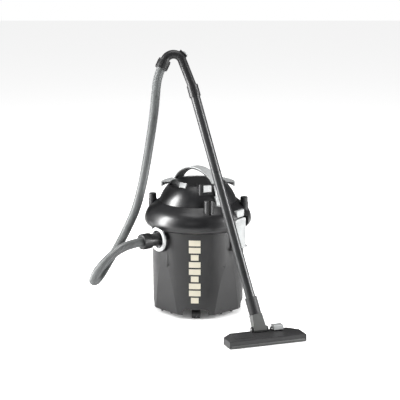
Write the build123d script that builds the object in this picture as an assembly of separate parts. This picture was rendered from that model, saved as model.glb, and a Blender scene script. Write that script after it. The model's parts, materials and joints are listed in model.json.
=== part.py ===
"""Drum vacuum cleaner: tank on castors, lift-off motor head, hose, bent grip, wand and floor nozzle.

Units are millimetres. The origin is the point on the floor under the drum's axis, +Z is up and -Y is
the front. A bearing is an angle about +Z from the front, positive towards +X.
"""
from build123d import *
from math import atan2, cos, degrees, pi, radians, sin, sqrt, tan
import os

# ---------------------------------------------------------------- clearances
RUN = 0.05            # radial play of a shaft that turns in its hole
SLIP = 0.3            # gap between faces that move past each other

# ---------------------------------------------------------------- drum tank
DRUM_BOTTOM_R = 158.0
DRUM_TOP_R = 161.0
SKIRT_BOTTOM = 17.5
DRUM_TOP = 306.0
WALL = 3.0
FLOOR_UNDERSIDE = 50.0
RIM_WIDTH = 9.0
RIM_HEIGHT = 5.5
FACET_DEPTH = 10.5
FACET_TOP = 200.0
FACET_BEARING = 42.0
PANEL_BEARING = -3.0
ARCH_WIDTH = 88.0
ARCH_TOP = 38.5
ARCH_CORNER = 14.0

# ---------------------------------------------------------------- castors
CASTOR_CIRCLE_R = 132.0
CASTOR_WHEEL_R = 17.0
CASTOR_WHEEL_WIDTH = 12.0
CASTOR_TYRE_ROUND = 1.8
CASTOR_WEB = 4.0
CASTOR_TRAIL = 8.0
CASTOR_AXLE_R = 3.0
HOOD_GAP = 1.2
HOOD_WALL = 1.8
STEM_R = 5.0
STEM_LENGTH = 22.0
BOSS_WALL = 5.0
BOSS_GAP = 0.6

# ---------------------------------------------------------------- inlet
INLET_BEARING = -53.0
INLET_HEIGHT = 276.0
CUFF_NOSE_R = 20.0
INLET_FLANGE_R = 44.5
INLET_FACE = 168.0
INLET_RING_R = 43.0
INLET_RING_INNER_R = 31.0
INLET_RING_DEPTH = 8.0
INLET_RING_ROUND = 4.0
INLET_SPIGOT_INNER = 148.0
DEFLECTOR_WALL = 3.0
DEFLECTOR_LENGTH = 34.0
INLET_SCREW_R = 2.2
INLET_SCREW_CIRCLE_R = 27.3
INLET_NOTCH_GAP = 1.5

# ---------------------------------------------------------------- lid ring, deck and head cover
RING_SEAT = 0.3
RING_WALL = 3.0
RING_MAX_R = 187.0
RING_TOP = 393.0
RING_TOP_R = 142.0
GASKET_HEIGHT = 3.0
GASKET_WIDTH = 5.5
GASKET_INSET = 1.0
DECK_R = 161.5
DECK_THICKNESS = 4.0
COVER_BASE_R = 136.0
COVER_TOP = 460.0
COVER_WALL = 3.0
SCOOP_BEARING = -53.0
SCOOP_WIDTH = 92.0
SCOOP_FLOOR = 446.0
SCOOP_REACH = 118.0
SCOOP_DEPTH = 26.0
GRILLE_THICK = 2.0
TAB_BEARING = -33.0
TAB_WIDTH = 26.0
TAB_REACH = 100.0

# ---------------------------------------------------------------- latches
LATCH_BEARING = 57.0
LATCH_WIDTH = 66.0
LATCH_THICK = 8.0
LATCH_INNER = 168.0
LATCH_PIVOT_HEIGHT = 243.0
LATCH_TOP = 347.0
LATCH_PIN_R = 2.5
LATCH_BARREL_R = 6.0
LATCH_EAR = 5.0
POCKET_SIDE_GAP = 7.0
POCKET_BACK = 162.5
POCKET_TOP = 351.0
KEEPER_WIDTH = 48.0
KEEPER_HEIGHT = 24.0
KEEPER_DEPTH = 12.0

# ---------------------------------------------------------------- accessory posts
POST_R = 13.0
POST_CIRCLE_R = 163.0
POST_TOP = 411.0
POST_COLLAR_R = 14.5
POST_COLLAR_TOP = 392.0
POST_RIGHT_BEARING = 79.0
POST_LEFT_BEARING = -102.0
FRONT_POST_R = 16.0
FRONT_POST_CIRCLE_R = 153.0
FRONT_POST_TOP = 422.0
FRONT_POST_BEARING = 14.0
FRONT_POST_GROOVE = 5.0

# ---------------------------------------------------------------- carry handle
HANDLE_BEARING = 36.0
HANDLE_SPAN_R = 134.0
HANDLE_RISE = 97.0
HANDLE_SPRING = 415.0
HANDLE_WIDTH = 36.0
HANDLE_SHELL = 4.0
HANDLE_LINER = 5.0
HANDLE_FOOT_TOP = 428.0
HANDLE_FOOT_INNER = 112.0
HANDLE_SCREW_R = 3.0
HANDLE_SCREW_HEIGHT = 421.0
HANDLE_SCREW_LENGTH = 8.0

# ---------------------------------------------------------------- cable wrap, gland, switch
WRAP_R = 132.0
WRAP_LIP = 5.0
WRAP_LOW = 437.0
WRAP_HIGH = 455.0
WRAP_PLATE = 4.0
WRAP_FRONT = -25.0
GLAND_R = 9.0
GLAND_BORE_R = 4.0
GLAND_LENGTH = 22.0
GLAND_HEIGHT = 414.0
SWITCH_BEARING = 16.0
SWITCH_HOUSING_WIDTH = 56.0
SWITCH_HOUSING_DEPTH = 34.0
SWITCH_HOUSING_LOW = 424.0
SWITCH_HOUSING_TOP = 470.0
SWITCH_FACE = 117.0
SWITCH_WIDTH = 27.0
SWITCH_HEIGHT = 23.0
SWITCH_MIDDLE = 454.0
SWITCH_PIN_R = 1.5
SWITCH_DEPTH = 12.0
SWITCH_AXIS_Y = -109.0
ROCKER_PROUD = 2.2
ROCKER_THROW = 12.0
ROCKER_ROOM = 2.4

# ---------------------------------------------------------------- motor and filter
MOTOR_R = 62.0
MOTOR_WALL = 3.0
MOTOR_TOP = 432.0
MOTOR_GASKET_HEIGHT = 4.0
EYE_R = 20.0
BEARING_LOW = 346.0
ROTOR_R = 20.0
STATOR_LOW = 366.0
STATOR_HIGH = 404.0
SHAFT_R = 4.0
IMPELLER_R = 52.0
IMPELLER_LOW = 326.0
IMPELLER_HEIGHT = 14.0
IMPELLER_BLADES = 8
FILTER_R = 72.0
FILTER_LOW = 172.0
CAGE_R = 60.0
CAGE_WALL = 2.5
CAGE_SLOTS = 8
FLOAT_R = 24.0
FILTER_NUT_R = 20.0
FILTER_NUT_HEIGHT = 16.0
NUT_STUD_R = 4.0

# ---------------------------------------------------------------- wand
PIVOT = Vector(203, -362, 34)
LEAN_BACK = 0.3       # run along +Y for each unit of rise
TUBE_ANGLE = 105.3    # heading in the wand's own plane, from its x axis
TUBE_R = 16.0
TUBE_WALL = 1.5
TUBE_START = 66.0
TUBE_LENGTH = 770.0
GRIP_R = 15.0
GRIP_WALL = 2.0
GRIP_ANGLE = 111.3
GRIP_STRAIGHT = 98.0
GRIP_BEND_R = 31.0
GRIP_END_ANGLE = 245.8
GRIP_SOCKET_R = 19.0
GRIP_SOCKET_LENGTH = 34.0
GRIP_STUB = 14.0
GRIP_CUFF_R = 21.0
GRIP_CUFF_LENGTH = 34.0
CUFF_WEB = 4.0
SLIDER_LENGTH = 20.0
SLIDER_WIDTH = 14.0
SLIDER_THICK = 4.0
SLIDER_PAD = 4.0
SLIDER_TRAVEL = 8.0
SLIDER_ANGLE = 45.0
VENT_R = 3.0
CUFF_START = 1.0
SOCKET_R = 20.0
SOCKET_LENGTH = 58.0
NECK_RISE = 50.0

# ---------------------------------------------------------------- hose
HOSE_R = 15.5
HOSE_WALL = 3.0
HOSE_MOUTH_R = 16.6
HOSE_INSERT = 12.0
CUFF_NECK_R = 22.0
CUFF_GRIP_R = 26.5
CUFF_GRIP_START = 206.0
CUFF_END = 243.0
CUFF_BORE_R = 14.0
HOSE_ROUTE = [
    (-184.6, -139.1, 276.0),
    (-221.5, -166.9, 276.0),
    (-264.0, -198.0, 265.5),
    (-306.0, -212.5, 233.0),
    (-341.0, -201.0, 188.5),
    (-360.0, -161.0, 145.5),
    (-357.0, -103.0, 124.0),
    (-341.0, -40.0, 131.0),
    (-315.0, 12.0, 168.0),
    (-278.0, 31.0, 228.0),
    (-249.0, 8.0, 288.0),
    (-214.0, -38.0, 370.0),
    (-187.0, -84.0, 479.0),
    (-166.0, -108.0, 598.0),
    (-150.0, -118.0, 700.0),
    (-142.5, -123.0, 772.0),
    (-136.0, -120.2, 840.0),
    (-117.8, -108.4, 879.3),
]
BEND_SHARE = 0.45     # tangent length of each bend, as a share of its shorter run

# ---------------------------------------------------------------- floor nozzle
NOZZLE_CENTRE = (214.6, -394.0)
NOZZLE_TURN = 20.0
NOZZLE_LENGTH = 270.0
NOZZLE_DEPTH = 92.0
NOZZLE_TOP = 26.0
NOZZLE_LOW = 4.5
NOZZLE_WALL = 2.5
NOZZLE_REAR_CUT = 34.0
SOLE_THICK = 3.0
BRUSH_LENGTH = 236.0
BRUSH_WIDTH = 5.0
BRUSH_HEIGHT = 9.0
BRUSH_SETBACK = 12.0
BRUSH_LOW = 0.6
BRUSH_ROOM = 0.5
BRUSH_SPACING = 44.0
SLOT_LENGTH = 200.0
SLOT_DEPTH = 20.0
GLIDE_X = 90.0
NECK_WIDTH = 46.0
NECK_DEPTH = 40.0
NECK_PIN_R = 3.0
NECK_BARREL_R = 11.0
NECK_TOP_WIDTH = 34.0
NECK_TOP_DEPTH = 32.0
NECK_BORE_R = 12.0
NECK_PIN_SEAT = 7.0
EAR_WIDTH = 6.0
PEDAL_WIDTH = 34.0
PEDAL_DEPTH = 24.0
PEDAL_OFFSET = 62.0
PEDAL_PIN_R = 2.0
PEDAL_HEIGHT = 15.0
WHEEL_X = 88.0
NOZZLE_WHEEL_R = 8.0
NOZZLE_WHEEL_WIDTH = 9.0
NOZZLE_AXLE_R = 2.0


# ---------------------------------------------------------------- shape helpers
def save(shape, node):
    """Write one node to its own file."""
    export_step(shape, f"parts/{node}.step")


def block(x0, x1, y0, y1, z0, z1):
    """A box between two corners."""
    middle = Pos((x0 + x1) / 2, (y0 + y1) / 2, (z0 + z1) / 2)
    return middle * Box(x1 - x0, y1 - y0, z1 - z0)


def post(radius, z0, z1, x=0.0, y=0.0):
    """An upright cylinder."""
    return Pos(x, y, (z0 + z1) / 2) * Cylinder(radius, z1 - z0)


def ring(outer, inner, z0, z1):
    """An upright tube on the drum's axis."""
    return post(outer, z0, z1) - post(inner, z0 - 1, z1 + 1)


def bar_x(radius, x0, x1, y, z):
    """A cylinder along X."""
    return Pos((x0 + x1) / 2, y, z) * Rot(0, 90, 0) * Cylinder(radius, x1 - x0)


def bar_y(radius, y0, y1, x, z):
    """A cylinder along Y."""
    return Pos(x, (y0 + y1) / 2, z) * Rot(90, 0, 0) * Cylinder(radius, y1 - y0)


def rod(start, end, radius):
    """A cylinder from one point to another."""
    along = Vector(end) - Vector(start)
    base = Plane(origin=start, z_dir=along)
    return base * Cylinder(radius, along.length, align=(Align.CENTER, Align.CENTER, Align.MIN))


def turned(*edges):
    """Turn a closed outline, drawn as radius and height, about the drum's axis."""
    return revolve(Plane.XZ * make_face(Curve() + list(edges)), Axis.Z, 360)


def bearing(shape, angle):
    """Move a shape that was made at the front to its bearing."""
    return Rot(0, 0, angle) * shape


def at_bearings(shape, angles):
    """Copies of one shape at several bearings, as separate solids."""
    return Compound(children=[bearing(shape, angle) for angle in angles])


# ---------------------------------------------------------------- outer forms that others seat on
def drum_radius(z):
    """Outer radius of the drum at a height."""
    return DRUM_BOTTOM_R + (DRUM_TOP_R - DRUM_BOTTOM_R) * (z - SKIRT_BOTTOM) / (DRUM_TOP - SKIRT_BOTTOM)


def drum_form(inset, low, high):
    """The drum's solid outer form between two heights: a slight cone with four leaning flats."""
    outline = Polyline((0, low), (drum_radius(low) - inset, low), (drum_radius(high) - inset, high),
                       (0, high), close=True)
    form = turned(outline)
    flat = drum_radius(SKIRT_BOTTOM) - FACET_DEPTH
    lean = degrees(atan2(drum_radius(FACET_TOP) - flat, FACET_TOP - SKIRT_BOTTOM))
    cutter = Pos(0, inset - flat, SKIRT_BOTTOM) * Rot(lean, 0, 0) * block(-200, 200, -100, 0, -400, 400)
    for quarter in range(4):
        form -= bearing(cutter, FACET_BEARING + 90 * quarter)
    return form


RING_LOW = DRUM_TOP + RING_SEAT


def ring_form(inset):
    """The lid ring's solid outer form: a swelling under a sloped shoulder."""
    low = RING_LOW + inset
    foot = (RING_MAX_R - 22 - inset, low)
    swell = (RING_MAX_R - inset, RING_LOW + 22)
    neck = (RING_TOP_R + 23.5 - 0.8 * inset, RING_TOP - 18 - 0.6 * inset)
    shoulder = (RING_TOP_R, RING_TOP - inset)
    return turned(
        Line((0, low), foot),
        ThreePointArc(foot, (RING_MAX_R - 6.5 - 0.8 * inset, low + 8), swell),
        ThreePointArc(swell, (RING_MAX_R - 5.0 - inset, RING_LOW + 46 - 0.3 * inset), neck),
        Line(neck, shoulder),
        Line(shoulder, (0, RING_TOP - inset)),
        Line((0, RING_TOP - inset), (0, low)),
    )


def cover_form(inset):
    """The head cover's solid outer form: a low dome with a rounded crown edge."""
    base = (COVER_BASE_R - inset, RING_TOP)
    crown = (COVER_BASE_R - 37 - inset, COVER_TOP - 6)
    flat = (COVER_BASE_R - 50 - inset, COVER_TOP - inset)
    return turned(
        Line((0, RING_TOP), base),
        ThreePointArc(base, (COVER_BASE_R - 12.5 - inset, RING_TOP + 29), crown),
        ThreePointArc(crown, (COVER_BASE_R - 42 - inset, COVER_TOP - 1.4 - inset), flat),
        Line(flat, (0, COVER_TOP - inset)),
        Line((0, COVER_TOP - inset), (0, RING_TOP)),
    )


RING_SOLID = ring_form(0)
COVER_SOLID = cover_form(0)

# ---------------------------------------------------------------- castors
HOOD_R = CASTOR_WHEEL_R + HOOD_GAP + HOOD_WALL
HOOD_TOP = CASTOR_WHEEL_R + HOOD_R
BOSS_LOW = HOOD_TOP + BOSS_GAP
BOSS_HIGH = HOOD_TOP + STEM_LENGTH + BOSS_WALL
CASTOR_NAMES = ("front", "right", "back", "left")


def castor_fork():
    """Hood, web, axle and stem of the castor at the front, trailing inwards."""
    half = CASTOR_WEB / 2 + CASTOR_WHEEL_WIDTH + SLIP
    axle_y = CASTOR_TRAIL - CASTOR_CIRCLE_R
    hood = bar_x(HOOD_R, -half, half, axle_y, CASTOR_WHEEL_R)
    hood -= bar_x(HOOD_R - HOOD_WALL, -half - 1, half + 1, axle_y, CASTOR_WHEEL_R)
    hood += bar_x(HOOD_R - 0.5, -CASTOR_WEB / 2, CASTOR_WEB / 2, axle_y, CASTOR_WHEEL_R)
    hood -= block(-half - 1, half + 1, -300, 0, -50, CASTOR_WHEEL_R - 4)
    fork = hood + bar_x(CASTOR_AXLE_R, -half, half, axle_y, CASTOR_WHEEL_R)
    plinth = post(STEM_R + 3, HOOD_TOP - 5, HOOD_TOP, 0, -CASTOR_CIRCLE_R)
    plinth -= bar_x(HOOD_R - HOOD_WALL, -half - 1, half + 1, axle_y, CASTOR_WHEEL_R)
    return fork + plinth + post(STEM_R, HOOD_TOP - 1, HOOD_TOP + STEM_LENGTH, 0, -CASTOR_CIRCLE_R)


def castor_wheels():
    """The castor's two wheels, one on each side of the web."""
    axle_y = CASTOR_TRAIL - CASTOR_CIRCLE_R
    inner = CASTOR_WEB / 2 + SLIP
    outer = inner + CASTOR_WHEEL_WIDTH - SLIP
    wheels = []
    for x0, x1 in ((inner, outer), (-outer, -inner)):
        wheel = bar_x(CASTOR_WHEEL_R, x0, x1, axle_y, CASTOR_WHEEL_R)
        wheel = fillet(wheel.edges().filter_by(GeomType.CIRCLE), CASTOR_TYRE_ROUND)
        wheels.append(wheel - bar_x(CASTOR_AXLE_R + RUN, x0 - 1, x1 + 1, axle_y, CASTOR_WHEEL_R))
    return Compound(children=wheels)


# ---------------------------------------------------------------- tank and inlet
INLET_BORE_R = CUFF_NOSE_R + RUN
INLET_SPIGOT_R = INLET_BORE_R + 3.4
NOTCH_BACK = DRUM_TOP_R - 4.5
RIM_INNER = DRUM_TOP_R - RIM_WIDTH
LATCH_PIVOT_Y = -(LATCH_INNER + LATCH_THICK / 2)
EAR_INNER = LATCH_WIDTH / 2 + SLIP
EAR_OUTER = EAR_INNER + LATCH_EAR
LATCH_BEARINGS = (LATCH_BEARING, LATCH_BEARING + 180)
INLET_SCREW_ANGLES = (0, 180, 270)


def latch_ears():
    """The two ears that hold one latch's hinge pin, on the front of the drum."""
    ears = Part()
    for x0, x1 in ((EAR_INNER, EAR_OUTER), (-EAR_OUTER, -EAR_INNER)):
        low, high = LATCH_PIVOT_HEIGHT - LATCH_BARREL_R, LATCH_PIVOT_HEIGHT + LATCH_BARREL_R
        ears += block(x0, x1, LATCH_PIVOT_Y, WALL / 2 - drum_radius(high) + 6, low, high)
        ears += bar_x(LATCH_BARREL_R, x0, x1, LATCH_PIVOT_Y, LATCH_PIVOT_HEIGHT)
    return ears - bar_x(LATCH_PIN_R, -EAR_OUTER - 1, EAR_OUTER + 1, LATCH_PIVOT_Y, LATCH_PIVOT_HEIGHT)


def drum_tank():
    """Tank with its skirt, floor, rim, castor bosses, arches, inlet hole and latch ears."""
    tank = drum_form(0, SKIRT_BOTTOM, DRUM_TOP)
    tank -= drum_form(WALL, FLOOR_UNDERSIDE + WALL, DRUM_TOP - RIM_HEIGHT)
    tank -= post(RIM_INNER, DRUM_TOP - RIM_HEIGHT - 1, DRUM_TOP + 1)
    tank -= drum_form(WALL, SKIRT_BOTTOM, FLOOR_UNDERSIDE)
    arch_height = 2 * (ARCH_TOP - SKIRT_BOTTOM)
    arch = Plane.XZ.offset(CASTOR_CIRCLE_R) * Pos(0, SKIRT_BOTTOM) * RectangleRounded(
        ARCH_WIDTH, arch_height, ARCH_CORNER)
    for quarter in range(4):
        turn = PANEL_BEARING + 90 * quarter
        tank -= bearing(extrude(arch, DRUM_TOP_R - CASTOR_CIRCLE_R + 10), turn)
        boss = post(STEM_R + BOSS_WALL, BOSS_LOW, BOSS_HIGH, 0, -CASTOR_CIRCLE_R)
        tank += bearing(boss, turn)
        socket = post(STEM_R + RUN, BOSS_LOW - 1, HOOD_TOP + STEM_LENGTH + 1, 0, -CASTOR_CIRCLE_R)
        tank -= bearing(socket, turn)
        for side in (-35.5, 35.5):
            nub = block(-4, 4, WALL / 2 - DRUM_BOTTOM_R + 6, WALL - DRUM_BOTTOM_R + 9, SKIRT_BOTTOM - 3.5,
                        SKIRT_BOTTOM + 4)
            tank += bearing(nub, turn + side)
    for turn in LATCH_BEARINGS:
        tank += bearing(latch_ears(), turn)
    hole = bar_y(INLET_SPIGOT_R + SLIP, -DRUM_TOP_R - 10, -DRUM_TOP_R + 30, 0, INLET_HEIGHT)
    tank -= bearing(hole, INLET_BEARING)
    for screw in inlet_screws():
        tank -= bearing(screw, INLET_BEARING)
    return tank


def inlet_flange():
    """Black flange on the drum wall, with the spigot that passes through it."""
    flange = bar_y(INLET_FLANGE_R, -INLET_FACE, -INLET_SPIGOT_INNER, 0, INLET_HEIGHT)
    flange -= bearing(drum_form(0, INLET_HEIGHT - 60, DRUM_TOP + 20), -INLET_BEARING)
    flange += bar_y(INLET_SPIGOT_R, -INLET_FACE - INLET_RING_DEPTH, -INLET_SPIGOT_INNER, 0, INLET_HEIGHT)
    flange -= bar_y(INLET_BORE_R, -INLET_FACE - 20, 0, 0, INLET_HEIGHT)
    for screw in inlet_screws():
        flange -= screw
    return flange


def inlet_ring():
    """Silver ring round the inlet's mouth."""
    front = -INLET_FACE - INLET_RING_DEPTH
    trim = bar_y(INLET_RING_R, front, -INLET_FACE, 0, INLET_HEIGHT)
    trim -= bar_y(INLET_RING_INNER_R, front - 1, 0, 0, INLET_HEIGHT)
    outer = trim.edges().filter_by(GeomType.CIRCLE).group_by(Axis.Y)[0].sort_by(SortBy.RADIUS)[-1]
    return fillet(outer, INLET_RING_ROUND)


def inlet_screws():
    """The screws that hold the flange to the drum wall."""
    screws = []
    wall_inner = drum_radius(INLET_HEIGHT) - WALL
    for angle in INLET_SCREW_ANGLES:
        x = INLET_SCREW_CIRCLE_R * cos(radians(angle))
        z = INLET_HEIGHT + INLET_SCREW_CIRCLE_R * sin(radians(angle))
        screws.append(bar_y(INLET_SCREW_R, -INLET_FACE, -wall_inner + 12, x, z))
    return screws


def inlet_deflector():
    """Half elbow behind the inlet that turns the stream down the wall."""
    outer = INLET_SPIGOT_R
    end = DEFLECTOR_LENGTH - INLET_SPIGOT_INNER
    elbow = bar_y(outer, -INLET_SPIGOT_INNER, end, 0, INLET_HEIGHT)
    elbow -= bar_y(outer - DEFLECTOR_WALL, -INLET_SPIGOT_INNER - 1, end - DEFLECTOR_WALL, 0, INLET_HEIGHT)
    return elbow - block(-outer * 0.7, outer * 0.7, -INLET_SPIGOT_INNER + 8, end - DEFLECTOR_WALL,
                         INLET_HEIGHT - outer - 1, INLET_HEIGHT)


# ---------------------------------------------------------------- latches
def latch():
    """One latch: a tall plate on a barrel, with a pad that bears on the ring's pocket."""
    half = LATCH_WIDTH / 2
    outer = LATCH_INNER + LATCH_THICK
    plate = block(-half, half, -outer, -LATCH_INNER, LATCH_PIVOT_HEIGHT, LATCH_TOP)
    plate = fillet(plate.edges().filter_by(Axis.Y).group_by(Axis.Z)[-1], 8)
    plate += bar_x(LATCH_BARREL_R, -half, half, LATCH_PIVOT_Y, LATCH_PIVOT_HEIGHT)
    plate += block(-half + 12, half - 12, -LATCH_INNER, -POCKET_BACK - SLIP, LATCH_TOP - 20, LATCH_TOP - 12)
    return plate - bar_x(LATCH_PIN_R + RUN, -half - 1, half + 1, LATCH_PIVOT_Y, LATCH_PIVOT_HEIGHT)


def latch_pin():
    """One latch's hinge pin."""
    return bar_x(LATCH_PIN_R, -EAR_OUTER, EAR_OUTER, LATCH_PIVOT_Y, LATCH_PIVOT_HEIGHT)


def keeper():
    """The block above one latch, in the ring's pocket."""
    half = KEEPER_WIDTH / 2
    low = POCKET_TOP + 1
    return block(-half, half, -POCKET_BACK - KEEPER_DEPTH, -POCKET_BACK, low, low + KEEPER_HEIGHT)


# ---------------------------------------------------------------- head shells
DECK_LOW = RING_LOW + RING_WALL
DECK_HIGH = DECK_LOW + DECK_THICKNESS
COVER_SCREW_CIRCLE_R = 127.0
COVER_SCREW_ANGLES = (10, 100, 190, 280)
COVER_SCREW_R = 2.0


def latch_pockets(grow):
    """The space cut from the ring for one latch and its keeper, grown for the pocket's walls."""
    half = LATCH_WIDTH / 2 + POCKET_SIDE_GAP + grow
    keeper_half = KEEPER_WIDTH / 2 + 1 + grow
    low = RING_LOW - 10 + (grow and 10)
    back = grow - POCKET_BACK
    space = block(-half, half, -RING_MAX_R - 10, back, low, POCKET_TOP + grow)
    return space + block(-keeper_half, keeper_half, -RING_MAX_R - 10, back, low,
                         POCKET_TOP + KEEPER_HEIGHT + 2 + grow)


def inlet_notch(grow):
    """The space under the ring's swelling that clears the inlet flange, grown for its wall."""
    radius = INLET_FLANGE_R + INLET_NOTCH_GAP + grow
    return bearing(bar_y(radius, -RING_MAX_R - 10, grow - NOTCH_BACK, 0, INLET_HEIGHT), INLET_BEARING)


def lid_ring():
    """The wide ring that sits on the drum and carries the head."""
    shell = RING_SOLID - ring_form(RING_WALL)
    for turn in LATCH_BEARINGS:
        shell += bearing(latch_pockets(RING_WALL), turn) & RING_SOLID
    shell += inlet_notch(RING_WALL) & RING_SOLID
    for turn in LATCH_BEARINGS:
        shell -= bearing(latch_pockets(0), turn)
    shell -= inlet_notch(0)
    shell -= post(RIM_INNER + GASKET_INSET + GASKET_WIDTH + 0.5, RING_LOW - 1, DECK_LOW + 0.01)
    shell -= post(COVER_SCREW_CIRCLE_R - 8, RING_TOP - RING_WALL - 1, RING_TOP + 1)
    for angle in COVER_SCREW_ANGLES:
        shell -= bearing(post(COVER_SCREW_R, RING_TOP - 10, RING_TOP + 1, 0, -COVER_SCREW_CIRCLE_R), angle)
    return shell


def motor_deck():
    """Plate under the motor, with the suction eye."""
    deck = ring(DECK_R, EYE_R, DECK_LOW, DECK_HIGH)
    for turn in LATCH_BEARINGS:
        deck -= bearing(latch_pockets(RING_WALL), turn)
    return deck - inlet_notch(RING_WALL)


def scoop_space(grow):
    """The oval well in the crown, grown for its walls."""
    middle_y = -SCOOP_REACH + SCOOP_DEPTH
    oval = Pos(0, middle_y, SCOOP_FLOOR - grow) * Ellipse(SCOOP_WIDTH / 2 + grow, SCOOP_DEPTH + grow)
    return bearing(extrude(oval, COVER_TOP), SCOOP_BEARING)


def head_cover():
    """The domed cover with its scoop and screw bosses."""
    shell = COVER_SOLID - cover_form(COVER_WALL)
    shell += scoop_space(COVER_WALL) & COVER_SOLID
    shell -= scoop_space(0)
    for angle in COVER_SCREW_ANGLES:
        boss = post(5, RING_TOP, RING_TOP + 16, 0, -COVER_SCREW_CIRCLE_R)
        shell += bearing(boss, angle) & COVER_SOLID
        shell -= bearing(post(COVER_SCREW_R, RING_TOP - 1, RING_TOP + 13, 0, -COVER_SCREW_CIRCLE_R), angle)
    return shell - switch_well()


def cover_screw():
    """One screw that holds the cover to the ring from below."""
    low = RING_TOP - RING_WALL
    screw = post(COVER_SCREW_R, low, RING_TOP + 12, 0, -COVER_SCREW_CIRCLE_R)
    return screw + post(COVER_SCREW_R * 2, low - 3, low, 0, -COVER_SCREW_CIRCLE_R)


def exhaust_grille():
    """Slotted plate on the floor of the scoop."""
    middle_y = -SCOOP_REACH + SCOOP_DEPTH
    oval = Pos(0, middle_y, SCOOP_FLOOR) * Ellipse(SCOOP_WIDTH / 2 - SLIP, SCOOP_DEPTH - SLIP)
    plate = extrude(oval, GRILLE_THICK)
    for k in range(-4, 5):
        plate -= block(k * 8 - 2, k * 8 + 2, middle_y - 14, middle_y + 14, SCOOP_FLOOR - 1,
                       SCOOP_FLOOR + GRILLE_THICK + 1)
    return bearing(plate, SCOOP_BEARING) & COVER_SOLID


def exhaust_tab():
    """The small grey tab that stands at the end of the scoop."""
    half = TAB_WIDTH / 2
    foot = Pos(0, -TAB_REACH, COVER_TOP - 12) * Rot(-25, 0, 0)
    tab = foot * block(-half, half, -2, 2, 0, 22)
    return bearing(tab, TAB_BEARING) - COVER_SOLID


def cable_wrap():
    """Grey brim round the back of the head, for winding the cable under."""
    plate = ring(WRAP_R, COVER_BASE_R - 60, WRAP_HIGH - WRAP_PLATE, WRAP_HIGH)
    lip = ring(WRAP_R, WRAP_R - WRAP_LIP, WRAP_LOW, WRAP_HIGH)
    brim = plate + lip - COVER_SOLID
    brim -= block(-200, 200, -200, -WRAP_FRONT, WRAP_LOW - 1, WRAP_HIGH + 1)
    half = HANDLE_WIDTH / 2 + 1.5
    return brim - bearing(block(-half, half, 60, 200, WRAP_LOW - 1, WRAP_HIGH + 1), HANDLE_BEARING)


def cable_gland():
    """The cable's outlet at the back of the cover, under the brim."""
    gland = bar_y(GLAND_R, 100, COVER_BASE_R - 14 + GLAND_LENGTH, 0, GLAND_HEIGHT)
    gland -= COVER_SOLID
    return gland - bar_y(GLAND_BORE_R, 90, 180, 0, GLAND_HEIGHT)


def side_post():
    """One side post for an accessory, standing on the ring's shoulder."""
    stem = post(POST_R, RING_TOP - 60, POST_TOP, 0, -POST_CIRCLE_R)
    stem = chamfer(stem.edges().filter_by(GeomType.CIRCLE).group_by(Axis.Z)[-1], 1.5)
    return stem + post(POST_COLLAR_R, RING_TOP - 60, POST_COLLAR_TOP, 0, -POST_CIRCLE_R)


def front_post():
    """The grooved post beside the switch."""
    stem = post(FRONT_POST_R, RING_TOP - 60, FRONT_POST_TOP, 0, -FRONT_POST_CIRCLE_R)
    stem = chamfer(stem.edges().filter_by(GeomType.CIRCLE).group_by(Axis.Z)[-1], 1.5)
    half = FRONT_POST_GROOVE / 2
    stem -= block(-half, half, -FRONT_POST_CIRCLE_R - 30, -FRONT_POST_CIRCLE_R - 10, 300, 500)
    return bearing(stem, FRONT_POST_BEARING) - RING_SOLID - COVER_SOLID


# ---------------------------------------------------------------- carry handle
def handle_arch(outset, inset, half_width):
    """Half an elliptical band over the head, in the handle's own upright plane."""
    outer = Ellipse(HANDLE_SPAN_R - outset, HANDLE_RISE - outset)
    inner = Ellipse(HANDLE_SPAN_R - inset, HANDLE_RISE - inset)
    band = Pos(0, 0, HANDLE_SPRING) * extrude(Plane.YZ * (outer - inner), half_width, both=True)
    return band - block(-100, 100, -300, 300, 0, HANDLE_SPRING)


def handle_feet(grow):
    """The two blocks by which the handle stands on the ring and leans on the cover."""
    half = HANDLE_WIDTH / 2 + grow
    feet = Part()
    for y0, y1 in ((-HANDLE_SPAN_R - grow, -HANDLE_FOOT_INNER), (HANDLE_FOOT_INNER, HANDLE_SPAN_R + grow)):
        feet += block(-half, half, y0, y1, RING_TOP, HANDLE_FOOT_TOP + grow)
    return feet


def handle_shell():
    """Light grey carry handle."""
    bow = handle_arch(0, HANDLE_SHELL, HANDLE_WIDTH / 2) + handle_feet(0)
    for side in (-1, 1):
        near, far = sorted((side * (HANDLE_SPAN_R + 1), side * (HANDLE_SPAN_R - HANDLE_SCREW_LENGTH)))
        bow -= bar_y(HANDLE_SCREW_R, near, far, 0, HANDLE_SCREW_HEIGHT)
    return bearing(bow, HANDLE_BEARING) - COVER_SOLID


def handle_liner():
    """Black liner under the handle's bow."""
    liner = handle_arch(HANDLE_SHELL, HANDLE_SHELL + HANDLE_LINER, HANDLE_WIDTH / 2 - 1)
    liner -= block(-100, 100, -300, 300, 0, HANDLE_FOOT_TOP)
    return bearing(liner, HANDLE_BEARING) - COVER_SOLID


def handle_screws():
    """One screw in each foot of the handle."""
    screws = []
    for side in (-1, 1):
        near, far = sorted((side * HANDLE_SPAN_R, side * (HANDLE_SPAN_R - HANDLE_SCREW_LENGTH)))
        screws.append(bearing(bar_y(HANDLE_SCREW_R, near, far, 0, HANDLE_SCREW_HEIGHT), HANDLE_BEARING))
    return screws


# ---------------------------------------------------------------- switch
def switch_well():
    """The space in which the rocker tips."""
    well = SWITCH_WIDTH / 2 + SLIP
    swing = SWITCH_HEIGHT / 2 + ROCKER_ROOM
    room = block(-well, well, -SWITCH_FACE - 1, SWITCH_DEPTH + 6 - SWITCH_FACE, SWITCH_MIDDLE - swing,
                 SWITCH_MIDDLE + swing)
    return bearing(room + bar_x(SWITCH_PIN_R + RUN, -well - 2.2, well + 2.2, SWITCH_AXIS_Y, SWITCH_MIDDLE),
                   SWITCH_BEARING)


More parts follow.
